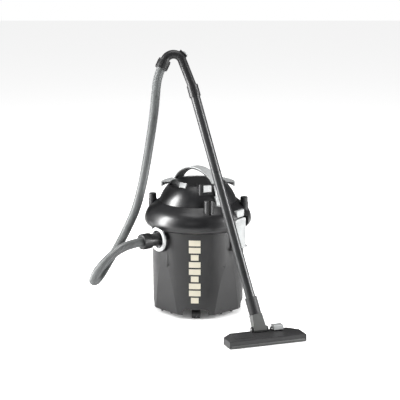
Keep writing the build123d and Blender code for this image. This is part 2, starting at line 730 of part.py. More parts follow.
def switch_housing():
    """Black housing on the cover's shoulder, with the rocker's well."""
    half = SWITCH_HOUSING_WIDTH / 2
    housing = block(-half, half, -SWITCH_FACE, SWITCH_HOUSING_DEPTH - SWITCH_FACE, SWITCH_HOUSING_LOW,
                    SWITCH_HOUSING_TOP)
    housing = fillet(housing.edges().filter_by(Axis.Z).group_by(Axis.Y)[0], 8)
    housing = bearing(housing, SWITCH_BEARING) - COVER_SOLID - switch_well()
    bow = handle_arch(-SLIP, HANDLE_SHELL + HANDLE_LINER + SLIP, HANDLE_WIDTH / 2 + SLIP)
    return housing - bearing(bow + handle_feet(SLIP), HANDLE_BEARING)


def switch_rocker():
    """Silver rocker, tipped to its off side."""
    half = SWITCH_WIDTH / 2
    rocker = block(-half, half, -SWITCH_FACE - ROCKER_PROUD, SWITCH_DEPTH - SWITCH_FACE,
                   SWITCH_MIDDLE - SWITCH_HEIGHT / 2, SWITCH_MIDDLE + SWITCH_HEIGHT / 2)
    rocker = fillet(rocker.edges().filter_by(Axis.X), 2)
    rocker += bar_x(SWITCH_PIN_R, -half - 2, half + 2, SWITCH_AXIS_Y, SWITCH_MIDDLE)
    pin = Pos(0, SWITCH_AXIS_Y, SWITCH_MIDDLE)
    return bearing(pin * Rot(-ROCKER_THROW / 2, 0, 0) * pin.inverse() * rocker, SWITCH_BEARING)


# ---------------------------------------------------------------- motor and filter
def motor_case():
    """Motor and fan case on its gasket, with two shaft bearings."""
    low = DECK_HIGH + MOTOR_GASKET_HEIGHT
    case = ring(MOTOR_R, MOTOR_R - MOTOR_WALL, low, MOTOR_TOP)
    case += ring(MOTOR_R - MOTOR_WALL / 2, EYE_R, low, low + MOTOR_WALL)
    for bearing_low, bearing_high in ((BEARING_LOW, BEARING_LOW + 8), (MOTOR_TOP - 10, MOTOR_TOP)):
        plate = ring(MOTOR_R - MOTOR_WALL / 2, 40, bearing_low, bearing_low + MOTOR_WALL)
        hub = ring(11, SHAFT_R + RUN, bearing_low, bearing_high)
        spokes = block(-50, 50, -5, 5, bearing_low, bearing_low + MOTOR_WALL)
        spokes += block(-5, 5, -50, 50, bearing_low, bearing_low + MOTOR_WALL)
        case += plate + hub + (spokes - post(SHAFT_R + RUN, bearing_low - 1, bearing_high))
    return case


def motor_stator():
    """Iron ring with its windings, held in the case."""
    return ring(MOTOR_R - MOTOR_WALL, ROTOR_R + 1, STATOR_LOW, STATOR_HIGH)


def motor_shaft():
    """Shaft with the rotor on it."""
    return post(SHAFT_R, IMPELLER_LOW - 3, MOTOR_TOP - 1) + post(ROTOR_R, STATOR_LOW, STATOR_HIGH)


def impeller():
    """Fan wheel: two discs with curved blades between them."""
    top = IMPELLER_LOW + IMPELLER_HEIGHT
    wheel = ring(IMPELLER_R, EYE_R, IMPELLER_LOW, IMPELLER_LOW + 1.5)
    wheel += ring(IMPELLER_R, SHAFT_R, top - 1.5, top) + ring(9, SHAFT_R, IMPELLER_LOW, top)
    for k in range(IMPELLER_BLADES):
        blade = Rot(0, 0, 35) * block(-0.8, 0.8, -26, 4, IMPELLER_LOW, top)
        wheel += Rot(0, 0, 360 * k / IMPELLER_BLADES) * Pos(0, -EYE_R, 0) * blade & post(
            IMPELLER_R, IMPELLER_LOW, top)
    return wheel - post(SHAFT_R, IMPELLER_LOW - 1, top + 1)


def filter_cage():
    """Basket under the deck that carries the filter sleeve and traps the float."""
    cage = post(CAGE_R, FILTER_LOW, DECK_LOW) - post(CAGE_R - CAGE_WALL, FILTER_LOW + CAGE_WALL, DECK_LOW + 1)
    cage += ring(CAGE_R + 8, CAGE_R - 1, DECK_LOW - CAGE_WALL, DECK_LOW)
    for k in range(CAGE_SLOTS):
        slot = block(-12, 12, -CAGE_R - 2, -CAGE_R + 8, FILTER_LOW + 14, DECK_LOW - 16)
        cage -= bearing(slot, 360 * k / CAGE_SLOTS)
    return cage - post(NUT_STUD_R, FILTER_LOW - 1, FILTER_LOW + CAGE_WALL + 1)


def filter_nut():
    """Hand nut under the cage, with its stud."""
    nut = post(FILTER_NUT_R, FILTER_LOW - FILTER_NUT_HEIGHT, FILTER_LOW)
    return nut + post(NUT_STUD_R, FILTER_LOW, FILTER_LOW + CAGE_WALL)


# ---------------------------------------------------------------- wand frame
LEAN = sqrt(1 + LEAN_BACK**2)
WAND = Plane(origin=PIVOT, x_dir=(1, 0, 0), z_dir=(0, -1 / LEAN, LEAN_BACK / LEAN))


def heading(angle):
    """A unit step in the wand's plane."""
    return Vector(cos(radians(angle)), sin(radians(angle)))


def in_wand(point):
    """A point of the wand's plane, in the row's frame."""
    return WAND.from_local_coords(Vector(point.X, point.Y, 0))


TUBE_END = TUBE_START + TUBE_LENGTH
GRIP_START = heading(TUBE_ANGLE) * TUBE_END
BEND_IN = GRIP_START + heading(GRIP_ANGLE) * GRIP_STRAIGHT
BEND_CENTRE = BEND_IN + heading(GRIP_ANGLE + 90) * GRIP_BEND_R
BEND_OUT = BEND_CENTRE + heading(GRIP_END_ANGLE - 90) * GRIP_BEND_R
STUB_END = BEND_OUT + heading(GRIP_END_ANGLE) * GRIP_STUB
HOSE_END_STEP = GRIP_STUB + CUFF_WEB


def along_wand(distance):
    """A point on the straight wand's axis, from the pivot."""
    return in_wand(heading(TUBE_ANGLE) * distance)


def grip_path(extra=0.0):
    """Centre line of the bent grip."""
    middle = BEND_CENTRE + heading((GRIP_ANGLE + GRIP_END_ANGLE) / 2 - 90) * GRIP_BEND_R
    start = GRIP_START - heading(GRIP_ANGLE) * extra
    end = STUB_END + heading(GRIP_END_ANGLE) * extra
    return Curve() + [
        Line(in_wand(start), in_wand(BEND_IN)),
        ThreePointArc(in_wand(BEND_IN), in_wand(middle), in_wand(BEND_OUT)),
        Line(in_wand(BEND_OUT), in_wand(end)),
    ]


def swept(path, radius):
    """A round bar along a path."""
    return sweep(Plane(origin=path @ 0, z_dir=path % 0) * Circle(radius), path)


def slider_plane():
    """Face of the slider's pad on the outside of the grip's bend."""
    out = heading(SLIDER_ANGLE)
    base = in_wand(BEND_CENTRE + out * (GRIP_BEND_R + GRIP_R + SLIDER_PAD))
    along = in_wand(heading(SLIDER_ANGLE + 90)) - in_wand(Vector(0, 0))
    return Plane(origin=base, x_dir=along, z_dir=in_wand(out) - in_wand(Vector(0, 0)))


def wand_grip():
    """Bent grip with the socket that holds the tube and the pad of the suction slider."""
    grip = swept(grip_path(), GRIP_R)
    grip += rod(along_wand(TUBE_END - GRIP_SOCKET_LENGTH), along_wand(TUBE_END + 6), GRIP_SOCKET_R)
    pad = Pos(0, 0, -SLIDER_PAD - 3) * Box(SLIDER_LENGTH + SLIDER_TRAVEL + 2, SLIDER_WIDTH,
                                           SLIDER_PAD + 3, align=(Align.CENTER, Align.CENTER, Align.MIN))
    grip += slider_plane() * pad
    grip -= rod(along_wand(TUBE_START), along_wand(TUBE_END), TUBE_R)
    grip -= swept(grip_path(1.0), GRIP_R - GRIP_WALL)
    vent = Pos(-SLIDER_TRAVEL / 2, 0, -SLIDER_PAD - 10) * Cylinder(
        VENT_R, 2 * SLIDER_PAD + 20, align=(Align.CENTER, Align.CENTER, Align.MIN))
    return grip - slider_plane() * vent


def suction_slider():
    """Plate that uncovers the vent on the grip."""
    plate = Pos(-SLIDER_TRAVEL / 2, 0, SLIP) * Box(SLIDER_LENGTH, SLIDER_WIDTH, SLIDER_THICK,
                                                   align=(Align.CENTER, Align.CENTER, Align.MIN))
    plate = fillet(plate.edges().filter_by(Axis.Z), 4)
    return slider_plane() * plate


def grip_cuff():
    """Cuff that turns on the grip's end and holds the hose."""
    step = heading(GRIP_END_ANGLE)
    at = [in_wand(BEND_OUT + step * d) for d in
          (CUFF_START, GRIP_STUB + SLIP, HOSE_END_STEP, GRIP_CUFF_LENGTH, GRIP_CUFF_LENGTH + 1, 0)]
    cuff = rod(at[0], at[3], GRIP_CUFF_R)
    cuff -= rod(at[5], at[1], GRIP_R + RUN)
    cuff -= rod(at[0], at[4], GRIP_R - GRIP_WALL - 1)
    return cuff - rod(at[2], at[4], HOSE_MOUTH_R)


def inlet_cuff():
    """Cuff that plugs into the drum's inlet and holds the hose."""
    face = -INLET_FACE - INLET_RING_DEPTH
    cuff = bar_y(CUFF_NOSE_R, face, -INLET_SPIGOT_INNER - 2, 0, INLET_HEIGHT)
    cuff += bar_y(CUFF_NECK_R, -CUFF_GRIP_START, face, 0, INLET_HEIGHT)
    grip = bar_y(CUFF_GRIP_R, -CUFF_END, -CUFF_GRIP_START, 0, INLET_HEIGHT)
    cuff += fillet(grip.edges().filter_by(GeomType.CIRCLE), 2)
    cuff -= bar_y(CUFF_BORE_R - 2, -CUFF_END - 1, 0, 0, INLET_HEIGHT)
    cuff -= bar_y(HOSE_MOUTH_R, -CUFF_END - 1, HOSE_INSERT - CUFF_END, 0, INLET_HEIGHT)
    return bearing(cuff, INLET_BEARING)


# ---------------------------------------------------------------- hose
def hose_radii():
    """One bend radius for each inner point of the route."""
    points = [Vector(*p) for p in HOSE_ROUTE]
    radii = []
    for before, corner, after in zip(points, points[1:], points[2:]):
        run_in, run_out = corner - before, after - corner
        turn = radians(run_in.get_angle(run_out))
        radii.append(BEND_SHARE * min(run_in.length, run_out.length) / tan(turn / 2))
    return radii


def hose_path():
    """Centre line of the hose: straight runs joined by arcs."""
    return FilletPolyline(*HOSE_ROUTE, radius=hose_radii())


def hose():
    """The corrugated hose as a plain tube."""
    path = hose_path()
    section = Plane(origin=path @ 0, z_dir=path % 0) * (Circle(HOSE_R) - Circle(HOSE_R - HOSE_WALL))
    tube = sweep(section, path)
    expected = pi * (HOSE_R**2 - (HOSE_R - HOSE_WALL) ** 2) * path.length
    print("hose length", round(path.length, 1), "volume ratio", round(tube.volume / expected, 4))
    print("hose bend radii", [round(r) for r in hose_radii()])
    return tube


# ---------------------------------------------------------------- floor nozzle
NOZZLE = Location((NOZZLE_CENTRE[0], NOZZLE_CENTRE[1], 0), (0, 0, NOZZLE_TURN))
NECK_PLACE = Plane(NOZZLE).to_local_coords(PIVOT)
NOZZLE_X = Vector(cos(radians(NOZZLE_TURN)), sin(radians(NOZZLE_TURN)))
WAND_AXIS = along_wand(1) - along_wand(0)


def nozzle_outline(inset):
    """The nozzle's plan: a long bar with its rear corners cut."""
    x, y = NOZZLE_LENGTH / 2 - inset, NOZZLE_DEPTH / 2 - inset
    cut = NOZZLE_REAR_CUT - inset * (2 - sqrt(2))
    outline = [(-x, -y), (x, -y), (x, y - cut), (x - cut, y), (cut - x, y), (-x, y - cut)]
    return make_face(Polyline(*outline, close=True))


def nozzle_prism(inset, low, high):
    """The nozzle's plan raised between two heights."""
    return extrude(Pos(0, 0, low) * nozzle_outline(inset), high - low)


BRUSH_FRONT_Y = BRUSH_SETBACK - NOZZLE_DEPTH / 2
BRUSH_REAR_Y = BRUSH_FRONT_Y + BRUSH_SPACING
NECK_HALF = NECK_WIDTH / 2
WHEEL_Y = NOZZLE_DEPTH / 2 - NOZZLE_WALL - NOZZLE_WHEEL_R - 1
PEDAL_AXIS_Y = NECK_PLACE.Y + 6
PEDAL_AXIS_Z = NOZZLE_TOP + 5


def pedal_span(grow):
    """Low and high X of the pedal, grown for its slot."""
    return PEDAL_OFFSET - PEDAL_WIDTH / 2 - grow, PEDAL_OFFSET + PEDAL_WIDTH / 2 + grow


def nozzle_shell():
    """Upper shell with the ears of the neck and pedal and the wheel brackets."""
    shell = nozzle_prism(0, NOZZLE_LOW, NOZZLE_TOP)
    shell = chamfer(shell.edges().group_by(Axis.Z)[-1], 2)
    shell -= nozzle_prism(NOZZLE_WALL, NOZZLE_LOW - 1, NOZZLE_TOP - NOZZLE_WALL)
    y, z = NECK_PLACE.Y, NECK_PLACE.Z
    for side in (-1, 1):
        x0, x1 = sorted((side * (NECK_HALF + SLIP), side * (NECK_HALF + SLIP + EAR_WIDTH)))
        shell += block(x0, x1, y - 9, y + 9, NOZZLE_TOP - NOZZLE_WALL, z) + bar_x(9, x0, x1, y, z)
    neck_room = NECK_HALF + SLIP
    shell -= block(-neck_room, neck_room, y - NECK_BARREL_R - 3, NOZZLE_DEPTH / 2 + 1,
                   z - NECK_BARREL_R - 2, z + 20)
    shell -= bar_x(NECK_PIN_R, -NECK_HALF - EAR_WIDTH - 1, NECK_HALF + EAR_WIDTH + 1, y, z)
    p0, p1 = pedal_span(0.5)
    shell -= block(p0, p1, PEDAL_AXIS_Y - PEDAL_DEPTH - 1, PEDAL_AXIS_Y + 5, NOZZLE_TOP - 8, NOZZLE_TOP + 9)
    for x0, x1 in ((p0 - 4, p0), (p1, p1 + 4)):
        shell += block(x0, x1, PEDAL_AXIS_Y - 5, PEDAL_AXIS_Y + 4, NOZZLE_TOP - NOZZLE_WALL, PEDAL_AXIS_Z + 4)
    shell -= bar_x(PEDAL_PIN_R, p0 - 5, p1 + 5, PEDAL_AXIS_Y, PEDAL_AXIS_Z)
    for x0, x1 in wheel_spans():
        for b0, b1 in ((x0 - 3 - SLIP, x0 - SLIP), (x1 + SLIP, x1 + 3 + SLIP)):
            shell += block(b0, b1, WHEEL_Y - 4, WHEEL_Y + 4, NOZZLE_WHEEL_R - 3, NOZZLE_TOP - NOZZLE_WALL)
        shell -= bar_x(NOZZLE_AXLE_R, x0 - 4, x1 + 4, WHEEL_Y, NOZZLE_WHEEL_R)
    return NOZZLE * shell


def wheel_spans():
    """Low and high X of the two rear wheels."""
    half = NOZZLE_WHEEL_WIDTH / 2
    return [(side * WHEEL_X - half, side * WHEEL_X + half) for side in (-1, 1)]


def nozzle_sole():
    """Sole plate with its suction slot, brush slots, wheel openings and front glides."""
    sole = nozzle_prism(0, NOZZLE_LOW - SOLE_THICK, NOZZLE_LOW)
    low, high = NOZZLE_LOW - SOLE_THICK - 1, NOZZLE_LOW + 1
    half = BRUSH_LENGTH / 2 + BRUSH_ROOM
    for y in (BRUSH_FRONT_Y, BRUSH_REAR_Y):
        reach = BRUSH_WIDTH / 2 + BRUSH_ROOM
        sole -= block(-half, half, y - reach, y + reach, low, high)
    middle = (BRUSH_FRONT_Y + BRUSH_REAR_Y) / 2
    across, deep = SLOT_LENGTH / 2, SLOT_DEPTH / 2
    sole -= block(-across, across, middle - deep, middle + deep, low, high)
    for x0, x1 in wheel_spans():
        sole -= block(x0 - 4, x1 + 4, WHEEL_Y - NOZZLE_WHEEL_R - 1, WHEEL_Y + NOZZLE_WHEEL_R + 1, low, high)
    for x in (-GLIDE_X, GLIDE_X):
        sole += block(x - 12, x + 12, 4 - NOZZLE_DEPTH / 2, 7 - NOZZLE_DEPTH / 2, 0, NOZZLE_LOW - 1)
    return NOZZLE * sole


def brush_strips():
    """Two bristle strips that drop through the sole."""
    half = BRUSH_LENGTH / 2
    strips = []
    for y in (BRUSH_FRONT_Y, BRUSH_REAR_Y):
        reach = BRUSH_WIDTH / 2
        strips.append(NOZZLE * block(-half, half, y - reach, y + reach, BRUSH_LOW, BRUSH_LOW + BRUSH_HEIGHT))
    return strips


def nozzle_neck():
    """Faceted grey neck between the nozzle's ears and the wand's socket."""
    y, z = NECK_PLACE.Y, NECK_PLACE.Z
    half = NECK_HALF
    foot = NOZZLE * (Pos(0, y - 1, z) * Rectangle(NECK_WIDTH, NECK_DEPTH - 14))
    top_plane = Plane(origin=along_wand(NECK_RISE), x_dir=NOZZLE_X, z_dir=WAND_AXIS)
    neck = loft([foot, top_plane * Rectangle(NECK_TOP_WIDTH, NECK_TOP_DEPTH)], ruled=True)
    neck += NOZZLE * bar_x(NECK_BARREL_R, -half, half, y, z)
    neck -= rod(along_wand(0), along_wand(NECK_RISE + 1), NECK_BORE_R)
    for side in (-1, 1):
        x0, x1 = sorted((side * (half - NECK_PIN_SEAT), side * (half + 1)))
        neck -= NOZZLE * bar_x(NECK_PIN_R + RUN, x0, x1, y, z)
    return neck


def neck_pins():
    """Two stub pins on which the neck tilts."""
    y, z = NECK_PLACE.Y, NECK_PLACE.Z
    pins = []
    for side in (-1, 1):
        ends = sorted((side * (NECK_HALF - NECK_PIN_SEAT + SLIP), side * (NECK_HALF + SLIP + EAR_WIDTH)))
        pins.append(NOZZLE * bar_x(NECK_PIN_R, *ends, y, z))
    return pins


def wand_socket():
    """Dark socket above the neck that holds the tube."""
    socket = rod(along_wand(NECK_RISE), along_wand(NECK_RISE + SOCKET_LENGTH), SOCKET_R)
    socket -= rod(along_wand(TUBE_START), along_wand(TUBE_END), TUBE_R)
    return socket - rod(along_wand(NECK_RISE - 1), along_wand(TUBE_START + 1), NECK_BORE_R)


def wand_tube():
    """Straight tube."""
    tube = rod(along_wand(TUBE_START), along_wand(TUBE_END), TUBE_R)
    return tube - rod(along_wand(TUBE_START - 1), along_wand(TUBE_END + 1), TUBE_R - TUBE_WALL)


def pedal():
    """Foot pedal that raises and drops the brushes."""
    x0, x1 = pedal_span(0)
    low = NOZZLE_TOP + 4
    body = block(x0, x1, PEDAL_AXIS_Y - PEDAL_DEPTH, PEDAL_AXIS_Y + 3, low, low + PEDAL_HEIGHT)
    body = chamfer(body.edges().filter_by(Axis.X).group_by(Axis.Z)[-1], 3)
    return NOZZLE * (body - bar_x(PEDAL_PIN_R + RUN, x0 - 1, x1 + 1, PEDAL_AXIS_Y, PEDAL_AXIS_Z))


def pedal_pin():
    """The pedal's pin, across its two ears."""
    x0, x1 = pedal_span(4.5)
    return NOZZLE * bar_x(PEDAL_PIN_R, x0, x1, PEDAL_AXIS_Y, PEDAL_AXIS_Z)


def nozzle_wheels():
    """The two small rear wheels."""
    wheels = []
    for x0, x1 in wheel_spans():
        wheel = bar_x(NOZZLE_WHEEL_R, x0, x1, WHEEL_Y, NOZZLE_WHEEL_R)
        wheel -= bar_x(NOZZLE_AXLE_R + RUN, x0 - 1, x1 + 1, WHEEL_Y, NOZZLE_WHEEL_R)
        wheels.append(NOZZLE * wheel)
    return wheels


def nozzle_axles():
    """The rear wheels' two short axles."""
    reach = 3 + SLIP
    return [NOZZLE * bar_x(NOZZLE_AXLE_R, x0 - reach, x1 + reach, WHEEL_Y, NOZZLE_WHEEL_R)
            for x0, x1 in wheel_spans()]


# ---------------------------------------------------------------- write every node
def main():
    """Build each node and write it to its file."""
    os.makedirs("parts", exist_ok=True)
    save(drum_tank(), "drum_tank")
    gasket_inner = RIM_INNER + GASKET_INSET
    save(ring(gasket_inner + GASKET_WIDTH, gasket_inner, DRUM_TOP, DRUM_TOP + GASKET_HEIGHT), "rim_gasket")
    save(bearing(inlet_flange(), INLET_BEARING), "inlet_flange")
    save(bearing(inlet_ring(), INLET_BEARING), "inlet_ring")
    save(bearing(inlet_deflector(), INLET_BEARING), "inlet_deflector")
    save(Compound(children=[bearing(s, INLET_BEARING) for s in inlet_screws()]), "inlet_screws")
    save(at_bearings(latch_pin(), LATCH_BEARINGS), "latch_pins")
    save(bearing(latch(), LATCH_BEARINGS[0]), "latch_right")
    save(bearing(latch(), LATCH_BEARINGS[1]), "latch_left")
    for quarter, name in enumerate(CASTOR_NAMES):
        turn = PANEL_BEARING + 90 * quarter
        save(bearing(castor_fork(), turn), f"castor_fork_{name}")
        save(bearing(castor_wheels(), turn), f"castor_wheels_{name}")

    save(lid_ring(), "lid_ring")
    save(motor_deck(), "motor_deck")
    save(head_cover(), "head_cover")
    save(at_bearings(cover_screw(), COVER_SCREW_ANGLES), "cover_screws")
    save(exhaust_grille(), "exhaust_grille")
    save(exhaust_tab(), "exhaust_tab")
    save(cable_wrap(), "cable_wrap")
    save(cable_gland(), "cable_gland")
    side_posts = [bearing(side_post(), a) - RING_SOLID for a in (POST_RIGHT_BEARING, POST_LEFT_BEARING)]
    save(Compound(children=side_posts), "accessory_posts")
    save(front_post(), "front_post")
    save(handle_shell(), "handle_shell")
    save(handle_liner(), "handle_liner")
    save(Compound(children=handle_screws()), "handle_screws")
    save(at_bearings(keeper(), LATCH_BEARINGS), "latch_keepers")
    save(switch_housing(), "switch_housing")
    save(switch_rocker(), "switch_rocker")
    save(ring(MOTOR_R, EYE_R, DECK_HIGH, DECK_HIGH + MOTOR_GASKET_HEIGHT), "motor_gasket")
    save(motor_case(), "motor_case")
    save(motor_stator(), "motor_stator")
    save(motor_shaft(), "motor_shaft")
    save(impeller(), "impeller")
    save(filter_cage(), "filter_cage")
    save(ring(FILTER_R, CAGE_R + SLIP, FILTER_LOW + 2, DECK_LOW - CAGE_WALL - SLIP), "filter_sleeve")
    save(filter_nut(), "filter_nut")
    float_height = FILTER_LOW + CAGE_WALL + SLIP + FLOAT_R
    save(Pos(0, 0, float_height) * Sphere(FLOAT_R), "float_ball")

    save(hose(), "hose")
    save(inlet_cuff(), "inlet_cuff")
    save(grip_cuff(), "grip_cuff")
    save(wand_grip(), "wand_grip")
    save(suction_slider(), "suction_slider")
    save(wand_tube(), "wand_tube")
    save(wand_socket(), "wand_socket")
    save(nozzle_neck(), "nozzle_neck")
    save(Compound(children=neck_pins()), "neck_pins")
    save(nozzle_shell(), "nozzle_shell")
    save(nozzle_sole(), "nozzle_sole")
    save(Compound(children=brush_strips()), "brush_strips")
    save(pedal(), "pedal")
    save(pedal_pin(), "pedal_pin")
    save(Compound(children=nozzle_wheels()), "nozzle_wheels")
    save(Compound(children=nozzle_axles()), "nozzle_axles")


if __name__ == "__main__":
    main()
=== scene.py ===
"""Drum vacuum cleaner: the visual model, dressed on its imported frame.

Everything is in metres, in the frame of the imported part: the origin is on the floor under the drum's
axis, +Z is up and -Y is the front. Each sub-assembly is a class that builds and dresses its pieces.
"""

import json
import logging
import math
from dataclasses import dataclass, field
from enum import Enum
from typing import Optional, Sequence

import bmesh
import bpy
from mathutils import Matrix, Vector


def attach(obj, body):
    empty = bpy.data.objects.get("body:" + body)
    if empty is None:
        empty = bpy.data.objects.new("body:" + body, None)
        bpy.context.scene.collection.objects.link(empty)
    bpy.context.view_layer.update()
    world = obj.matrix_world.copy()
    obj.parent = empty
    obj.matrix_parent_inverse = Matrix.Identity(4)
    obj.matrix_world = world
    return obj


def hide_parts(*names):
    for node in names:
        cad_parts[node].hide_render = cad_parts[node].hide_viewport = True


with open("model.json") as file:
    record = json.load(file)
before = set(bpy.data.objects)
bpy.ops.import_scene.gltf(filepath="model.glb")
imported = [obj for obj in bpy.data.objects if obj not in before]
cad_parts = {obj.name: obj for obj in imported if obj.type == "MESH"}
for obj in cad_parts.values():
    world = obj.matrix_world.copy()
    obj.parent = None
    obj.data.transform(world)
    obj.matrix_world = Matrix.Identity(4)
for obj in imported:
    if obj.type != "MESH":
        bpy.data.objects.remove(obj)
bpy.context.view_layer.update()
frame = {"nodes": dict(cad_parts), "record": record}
LOG = logging.getLogger("drum_vacuum")

Triple = tuple[float, float, float]


# ------------------------------------------------------------------ node trees
class NodeKit:
    """Short ways to add, fill and link the nodes of one tree."""

    def __init__(self, tree: bpy.types.NodeTree) -> None:
        """Work on a tree.

        Args:
            tree: The tree.
        """
        self.tree = tree

    def join(self, source: bpy.types.NodeSocket, target: bpy.types.NodeSocket) -> None:
        """Link two sockets."""
        self.tree.links.new(source, target)

    def feed(self, socket: bpy.types.NodeSocket, value: object) -> None:
        """Give an input a link when the value is a socket, or else a default."""
        if isinstance(value, bpy.types.NodeSocket):
            self.join(value, socket)
        else:
            socket.default_value = value

    def fill(self, node: bpy.types.Node, values: dict) -> bpy.types.Node:
        """Feed several inputs of a node.

        Args:
            node: The node.
            values: A socket or a plain value for each input, by name or number.

        Returns:
            The node.
        """
        for key, value in values.items():
            self.feed(node.inputs[key], value)
        return node

    def node(self, kind: str, values: Optional[dict] = None, **settings: object) -> bpy.types.Node:
        """Add one node.

        Args:
            kind: Its type.
            values: A socket or a plain value for some of its inputs.
            settings: Properties to set on it before its inputs are fed.

        Returns:
            The node.
        """
        made = self.tree.nodes.new(kind)
        for key, value in settings.items():
            setattr(made, key, value)
        return self.fill(made, values or {})

    def math(self, operation: str, *terms: object) -> bpy.types.NodeSocket:
        """Add a Math node and return its output.

        Args:
            operation: The operation.
            terms: A socket or a number for each input in turn.

        Returns:
            The output socket.
        """
        return self.node("ShaderNodeMath", dict(enumerate(terms)), operation=operation).outputs[0]

    def noise(self, where: bpy.types.NodeSocket, scale: object, detail: float) -> bpy.types.NodeSocket:
        """Add a Noise texture and return its factor."""
        values = {"Vector": where, "Scale": scale, "Detail": detail}
        return self.node("ShaderNodeTexNoise", values).outputs["Fac"]

    def map_range(self, value: bpy.types.NodeSocket, **ends: object) -> bpy.types.NodeSocket:
        """Add a Map Range node and return its result.

        Args:
            value: The value to map.
            ends: The ends that differ from 0 and 1: from_min, from_max, to_min and to_max.

        Returns:
            The result's socket.
        """
        named = {key.replace("_", " ").title(): end for key, end in ends.items()}
        return self.node("ShaderNodeMapRange", {"Value": value, **named}).outputs["Result"]


WHITE = (1.0, 1.0, 1.0, 1.0)
UP = Vector((0.0, 0.0, 1.0))


# ------------------------------------------------------------------ view, floor and light
@dataclass
class Studio:
    """Camera, pale floor and soft lights."""

    target: Triple = (0.007, 0.0, 0.392)
    distance: float = 5.0
    elevation: float = 12.0
    lens: float = 128.6
    sensor: float = 36.0
    floor_colour: Triple = (0.93, 0.93, 0.93)
    floor_glow: float = 0.80
    shade_reach: float = 0.25
    sky_seen: float = 1.0
    sky_lighting: float = 0.10
    sky_mirrored: float = 0.06

    def camera(self) -> bpy.types.Object:
        """Place the camera in front, a little above the drum.

        Returns:
            The camera object, set as the scene's camera.
        """
        data = bpy.data.cameras.new("studio_camera")
        data.lens = self.lens
        data.sensor_width = self.sensor
        data.clip_end = 50.0
        camera = bpy.data.objects.new("studio_camera", data)
        rise = math.radians(self.elevation)
        back = Vector((0.0, -math.cos(rise), math.sin(rise))) * self.distance
        camera.location = Vector(self.target) + back
        camera.rotation_euler = (-back).to_track_quat("-Z", "Y").to_euler()
        bpy.context.collection.objects.link(camera)
        bpy.context.scene.camera = camera
        return camera

    def floor(self) -> None:
        """Lay a pale floor under the object; its glow to the camera is dimmed by ambient occlusion, a painted
        shadow under and near the object.
        """
        mesh = bpy.data.meshes.new("studio_floor")
        reach = 12.0
        mesh.from_pydata([(-reach, -reach, 0), (reach, -reach, 0), (reach, reach, 0), (-reach, reach, 0)],
                         [], [(0, 1, 2, 3)])
        material = bpy.data.materials.new("studio_floor")
        material.use_nodes = True
        kit = NodeKit(material.node_tree)
        seen = kit.node("ShaderNodeLightPath").outputs["Is Camera Ray"]
        # Painted shadow: ambient occlusion dims the floor's camera-only glow under and near the object.
        painted_shadow_mask = kit.node("ShaderNodeAmbientOcclusion", {"Distance": self.shade_reach}).outputs["AO"]
        glow = kit.math("MULTIPLY", kit.math("MULTIPLY", seen, self.floor_glow), painted_shadow_mask)
        kit.fill(material.node_tree.nodes["Principled BSDF"], {
            "Base Color": (*self.floor_colour, 1.0), "Roughness": 0.75, "Specular IOR Level": 0.1,
            "Emission Color": WHITE, "Emission Strength": glow})
        mesh.materials.append(material)
        floor = bpy.data.objects.new("studio_floor", mesh)
        bpy.context.collection.objects.link(floor)

    def lamp(self, name: str, place: Triple, size: tuple[float, float], watts: float,
             aim: Triple = (0.0, 0.0, 0.4)) -> None:
        """Hang one soft rectangular lamp.

        Args:
            name: Name of the lamp.
            place: Where it hangs.
            size: Its width and height.
            watts: Its power.
            aim: The point that it faces.
        """
        data = bpy.data.lights.new(name, "AREA")
        data.shape = "RECTANGLE"
        data.size, data.size_y = size
        data.energy = watts
        lamp = bpy.data.objects.new(name, data)
        lamp.location = place
        lamp.rotation_euler = (Vector(aim) - Vector(place)).to_track_quat("-Z", "Y").to_euler()
        bpy.context.collection.objects.link(lamp)

    def lights(self) -> None:
        """Hang the soft lamps and set the pale surroundings."""
        self.lamp("key_left", (-2.8, -0.5, 1.2), (1.0, 2.4), 230.0)
        self.lamp("fill_right", (2.9, -0.7, 1.1), (0.8, 2.2), 150.0)
        self.lamp("front", (-0.9, -3.2, 1.9), (1.4, 1.2), 4.0)
        self.lamp("top", (0.1, -0.1, 3.0), (2.2, 1.4), 30.0)
        world = bpy.data.worlds.new("studio_world")
        world.use_nodes = True
        kit = NodeKit(world.node_tree)
        ray = kit.node("ShaderNodeLightPath").outputs
        mirrored = kit.map_range(ray["Is Glossy Ray"], to_min=self.sky_lighting, to_max=self.sky_mirrored)
        seen = kit.map_range(ray["Is Camera Ray"], to_min=mirrored, to_max=self.sky_seen)
        kit.fill(world.node_tree.nodes["Background"], {"Color": WHITE, "Strength": seen})
        bpy.context.scene.world = world
        bpy.context.scene.view_settings.view_transform = "Standard"


